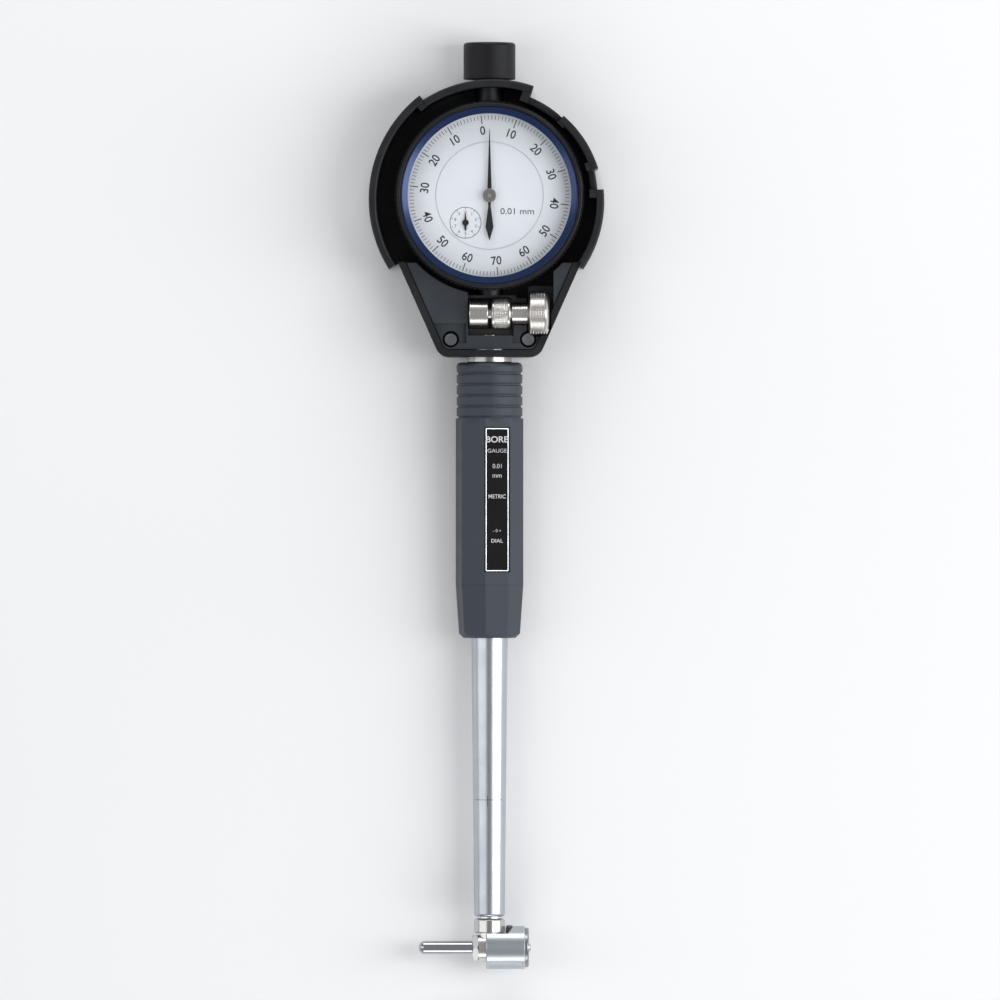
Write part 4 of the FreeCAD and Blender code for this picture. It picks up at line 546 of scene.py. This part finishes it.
class Print:
    """Flat printed shapes gathered into one thin mesh on a plane."""

    def __init__(self):
        self.bm = bmesh.new()

    def shape(self, corners):
        self.bm.faces.new([self.bm.verts.new((x, y, 0)) for x, y in corners])

    def bar(self, start, end, width):
        along = (Vector(end) - Vector(start)).normalized()
        side = Vector((-along.y, along.x)) * width / 2
        a, b = Vector(start), Vector(end)
        self.shape([a + side, a - side, b - side, b + side])

    def ring(self, x, y, radius, width, count=96):
        for index in range(count):
            turns = (2 * math.pi * index / count, 2 * math.pi * (index + 1) / count)
            inner, outer = radius - width / 2, radius + width / 2
            corners = [(x + r * math.cos(t), y + r * math.sin(t)) for r, t in
                       ((inner, turns[0]), (outer, turns[0]), (outer, turns[1]), (inner, turns[1]))]
            self.shape(corners)

    def words(self, words, height, x, y, turn=0.0, bold=0.0, width=1.0):
        mesh = text_mesh(words, height, bold, width)
        mesh.transform(Matrix.Translation((x, y, 0)) @ Matrix.Rotation(turn, 4, "Z"))
        self.bm.from_mesh(mesh)
        bpy.data.meshes.remove(mesh)

    def lay(self, name, matrix, mat, body, slot):
        for face in self.bm.faces:
            if face.normal.z < 0:
                face.normal_flip()
        mesh = bpy.data.meshes.new(name)
        self.bm.to_mesh(mesh)
        self.bm.free()
        mesh.transform(matrix)
        return piece(name, mesh, mat, body)


def polar(radius, turn, x=0.0, y=0.0):
    return (x + radius * math.cos(turn), y + radius * math.sin(turn))


PRINT_RISE = 0.015 * MM
scale_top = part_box("dial_scale_ring")[1].z
on_dial = Matrix.Translation((0, 0, scale_top + PRINT_RISE))


def dial_scale():
    """140 graduations with a figure at every tenth, counted both ways from nought."""
    outer = 24.0 * MM
    zero = math.radians(96)
    major, minor = Print(), Print()
    for index in range(140):
        turn = zero - 2 * math.pi * index / 140
        if index % 10 == 0:
            major.bar(polar(outer, turn), polar(21.5 * MM, turn), 0.26 * MM)
            count = index if index <= 70 else 140 - index
            lean = turn - math.pi / 2
            if math.sin(turn) < -0.15:
                lean += math.pi
            x, y = polar(19.6 * MM, turn)
            major.words(str(count), 2.6 * MM, x, y, lean, 0.012, 0.9)
        else:
            minor.bar(polar(outer, turn), polar(22.75 * MM, turn), 0.16 * MM)
    major.lay("dial_scale_print", on_dial, ink_black, "dial_bezel", "hand_black")
    minor.lay("dial_fine_print", on_dial, ink_grey, "dial_bezel", "hand_black")


def dial_middle():
    """The turn counter's scale and the unit, on the fixed middle of the dial."""
    centre = middle("counter_wheel")
    plate = Print()
    plate.ring(centre.x, centre.y, 4.65 * MM, 0.17 * MM)
    for index in range(10):
        turn = math.radians(90) - 2 * math.pi * index / 10
        plate.bar(polar(4.6 * MM, turn, centre.x, centre.y), polar(3.95 * MM, turn, centre.x, centre.y), 0.12 * MM)
        x, y = polar(3.2 * MM, turn, centre.x, centre.y)
        plate.words(str(index), 0.85 * MM, x, y)
    plate.words("0.01 mm", 1.85 * MM, 8.3 * MM, -4.7 * MM, 0.0, 0.0, 1.1)
    plate.lay("dial_middle_print", on_dial, ink_black, nodes["dial_centre"]["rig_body"], "hand_black")


def plane_of(node):
    """The node's main upward face: its middle, and its own x, y and normal directions, as a matrix."""
    mesh = nodes[node].data
    total = Vector()
    for polygon in mesh.polygons:
        if polygon.normal.z > 0.8:
            total += polygon.normal * polygon.area
    normal = total.normalized()
    across = Vector((0, 1, 0)).cross(normal).normalized()
    places = [v.co for v in mesh.vertices]
    spread = [p.dot(across) for p in places]
    height = max(p.dot(normal) for p in places)
    mid_y = middle(node).y
    centre = across * (max(spread) + min(spread)) / 2 + normal * height + Vector((0, mid_y, 0))
    matrix = Matrix((across, Vector((0, 1, 0)), normal)).transposed().to_4x4()
    return Matrix.Translation(centre) @ matrix, max(spread) - min(spread)


def label_print():
    """The label's thin silver border and a few generic words."""
    place, width = plane_of("label_plate")
    low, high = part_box("label_plate")
    half_length = (high.y - low.y) / 2 - 0.32 * MM
    half_width = width / 2 - 0.32 * MM
    rise = Matrix.Translation((0, 0, PRINT_RISE))
    border = Print()
    line = 0.2 * MM
    for side in (-1, 1):
        border.bar((side * half_width, -half_length), (side * half_width, half_length), line)
        border.bar((-half_width, side * half_length), (half_width, side * half_length), line)
    border.lay("label_border", place @ rise, silver_line, "frame", "label_black")
    words = Print()
    words.words("BORE", 1.9 * MM, 0, half_length - 3.2 * MM, 0.0, 0.02, 1.1)
    words.words("GAUGE", 1.15 * MM, 0, half_length - 6.6 * MM, 0.0, 0.0, 1.1)
    words.words("0.01", 1.3 * MM, 0, half_length - 11.2 * MM)
    words.words("mm", 0.9 * MM, 0, half_length - 14.2 * MM)
    words.words("METRIC", 1.2 * MM, 0, half_length - 20.3 * MM, 0.0, 0.01, 0.95)
    words.words("- 0 +", 0.9 * MM, 0, half_length - 30.6 * MM)
    words.words("DIAL", 1.1 * MM, 0, half_length - 33.6 * MM, 0.0, 0.01, 1.1)
    words.lay("label_words", place @ rise, ink_white, "frame", "label_black")


def on_top(node, x, y):
    """The height of the node's upper surface over a point."""
    hit, place, normal, index = nodes[node].ray_cast(Vector((x, y, 0.1)), Vector((0, 0, -1)))
    return place.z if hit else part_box(node)[1].z


def tube_mark():
    """The engraved line across the tube, with its short upright."""
    y = -181.3 * MM
    verts, faces = [], []

    def strip(x0, y0, x1, y1, width):
        steps = 12
        along = Vector((x1 - x0, y1 - y0)).normalized()
        side = Vector((-along.y, along.x)) * width / 2
        base = len(verts)
        for index in range(steps + 1):
            share = index / steps
            for sign in (1, -1):
                px = x0 + (x1 - x0) * share + side.x * sign
                py = y0 + (y1 - y0) * share + side.y * sign
                verts.append((px, py, on_top("tube", px, py) + PRINT_RISE))
        for index in range(steps):
            a = base + 2 * index
            faces.append((a, a + 1, a + 3, a + 2))

    strip(-4.3 * MM, y, -1.6 * MM, y, 0.16 * MM)
    strip(1.4 * MM, y, 4.0 * MM, y, 0.16 * MM)
    strip(-0.6 * MM, y - 2.1 * MM, -0.6 * MM, y + 1.3 * MM, 0.2 * MM)
    strip(-1.5 * MM, y, 1.2 * MM, y, 0.2 * MM)
    mesh = raw_mesh("tube_mark", verts, faces)
    piece("tube_mark", mesh, ink_grey, "frame")


dial_scale()
dial_middle()
label_print()
tube_mark()


# ---------------------------------------------------------------- floor, lights and camera

def floor():
    half = 1.4
    mesh = raw_mesh("floor", [(-half, -half, 0), (half, -half, 0), (half, half, 0), (-half, half, 0)], [(0, 1, 2, 3)])
    obj = bpy.data.objects.new("floor", mesh)
    bpy.context.scene.collection.objects.link(obj)
    obj.location = (0, -0.1, cad_box[0].z - 0.0002)
    mat, tree, shader = blank("floor_paper")
    slow = noise(tree, (0.004, 0.004, 0.004), 2.0)
    tone = blend_colour(tree, between(tree, slow, 0.0, 1.0), (0.93, 0.93, 0.93), (0.95, 0.95, 0.95))
    link(tree, tone, shader.inputs["Base Color"])
    shader.inputs["Roughness"].default_value = 0.9
    shader.inputs["Specular IOR Level"].default_value = 0.1
    mesh.materials.append(mat)


def area(name, place, target, width, height, watts, colour=(1, 1, 1)):
    data = bpy.data.lights.new(name, "AREA")
    data.shape = "RECTANGLE"
    data.size = width
    data.size_y = height
    data.energy = watts
    data.color = colour
    obj = bpy.data.objects.new(name, data)
    bpy.context.scene.collection.objects.link(obj)
    obj.location = place
    look = (Vector(target) - Vector(place)).normalized()
    obj.rotation_mode = "QUATERNION"
    obj.rotation_quaternion = look.to_track_quat("-Z", "Y")
    return obj


floor()
aim = (0.0, -0.09, 0.0)
area("right_light", (1.0, -0.10, 0.80), aim, 0.55, 1.5, 10.5, (0.98, 0.99, 1.0))
area("left_light", (-1.0, -0.10, 0.80), aim, 0.5, 1.5, 3.4, (0.98, 0.99, 1.0))
area("far_light", (0.0, 1.1, 0.55), aim, 1.2, 0.45, 6.5)
area("near_light", (0.1, -1.25, 0.55), aim, 1.2, 0.4, 4.5)

world = bpy.data.worlds.new("studio")
world.use_nodes = True
sky = world.node_tree.nodes["Background"]
sky.inputs["Color"].default_value = (0.94, 0.97, 1.0, 1.0)
sky.inputs["Strength"].default_value = 0.34
bpy.context.scene.world = world
bpy.context.scene.view_settings.view_transform = "Standard"
bpy.context.scene.view_settings.look = "None"

lens = bpy.data.cameras.new("camera")
lens.sensor_width = 36.0
distance = 4.0
lens.lens = lens.sensor_width * distance / 0.3
camera = bpy.data.objects.new("camera", lens)
bpy.context.scene.collection.objects.link(camera)
camera.location = (3.15 * MM, -91.3 * MM, distance + 0.016)
lens.clip_start = 0.05
lens.clip_end = 10.0
bpy.context.scene.camera = camera
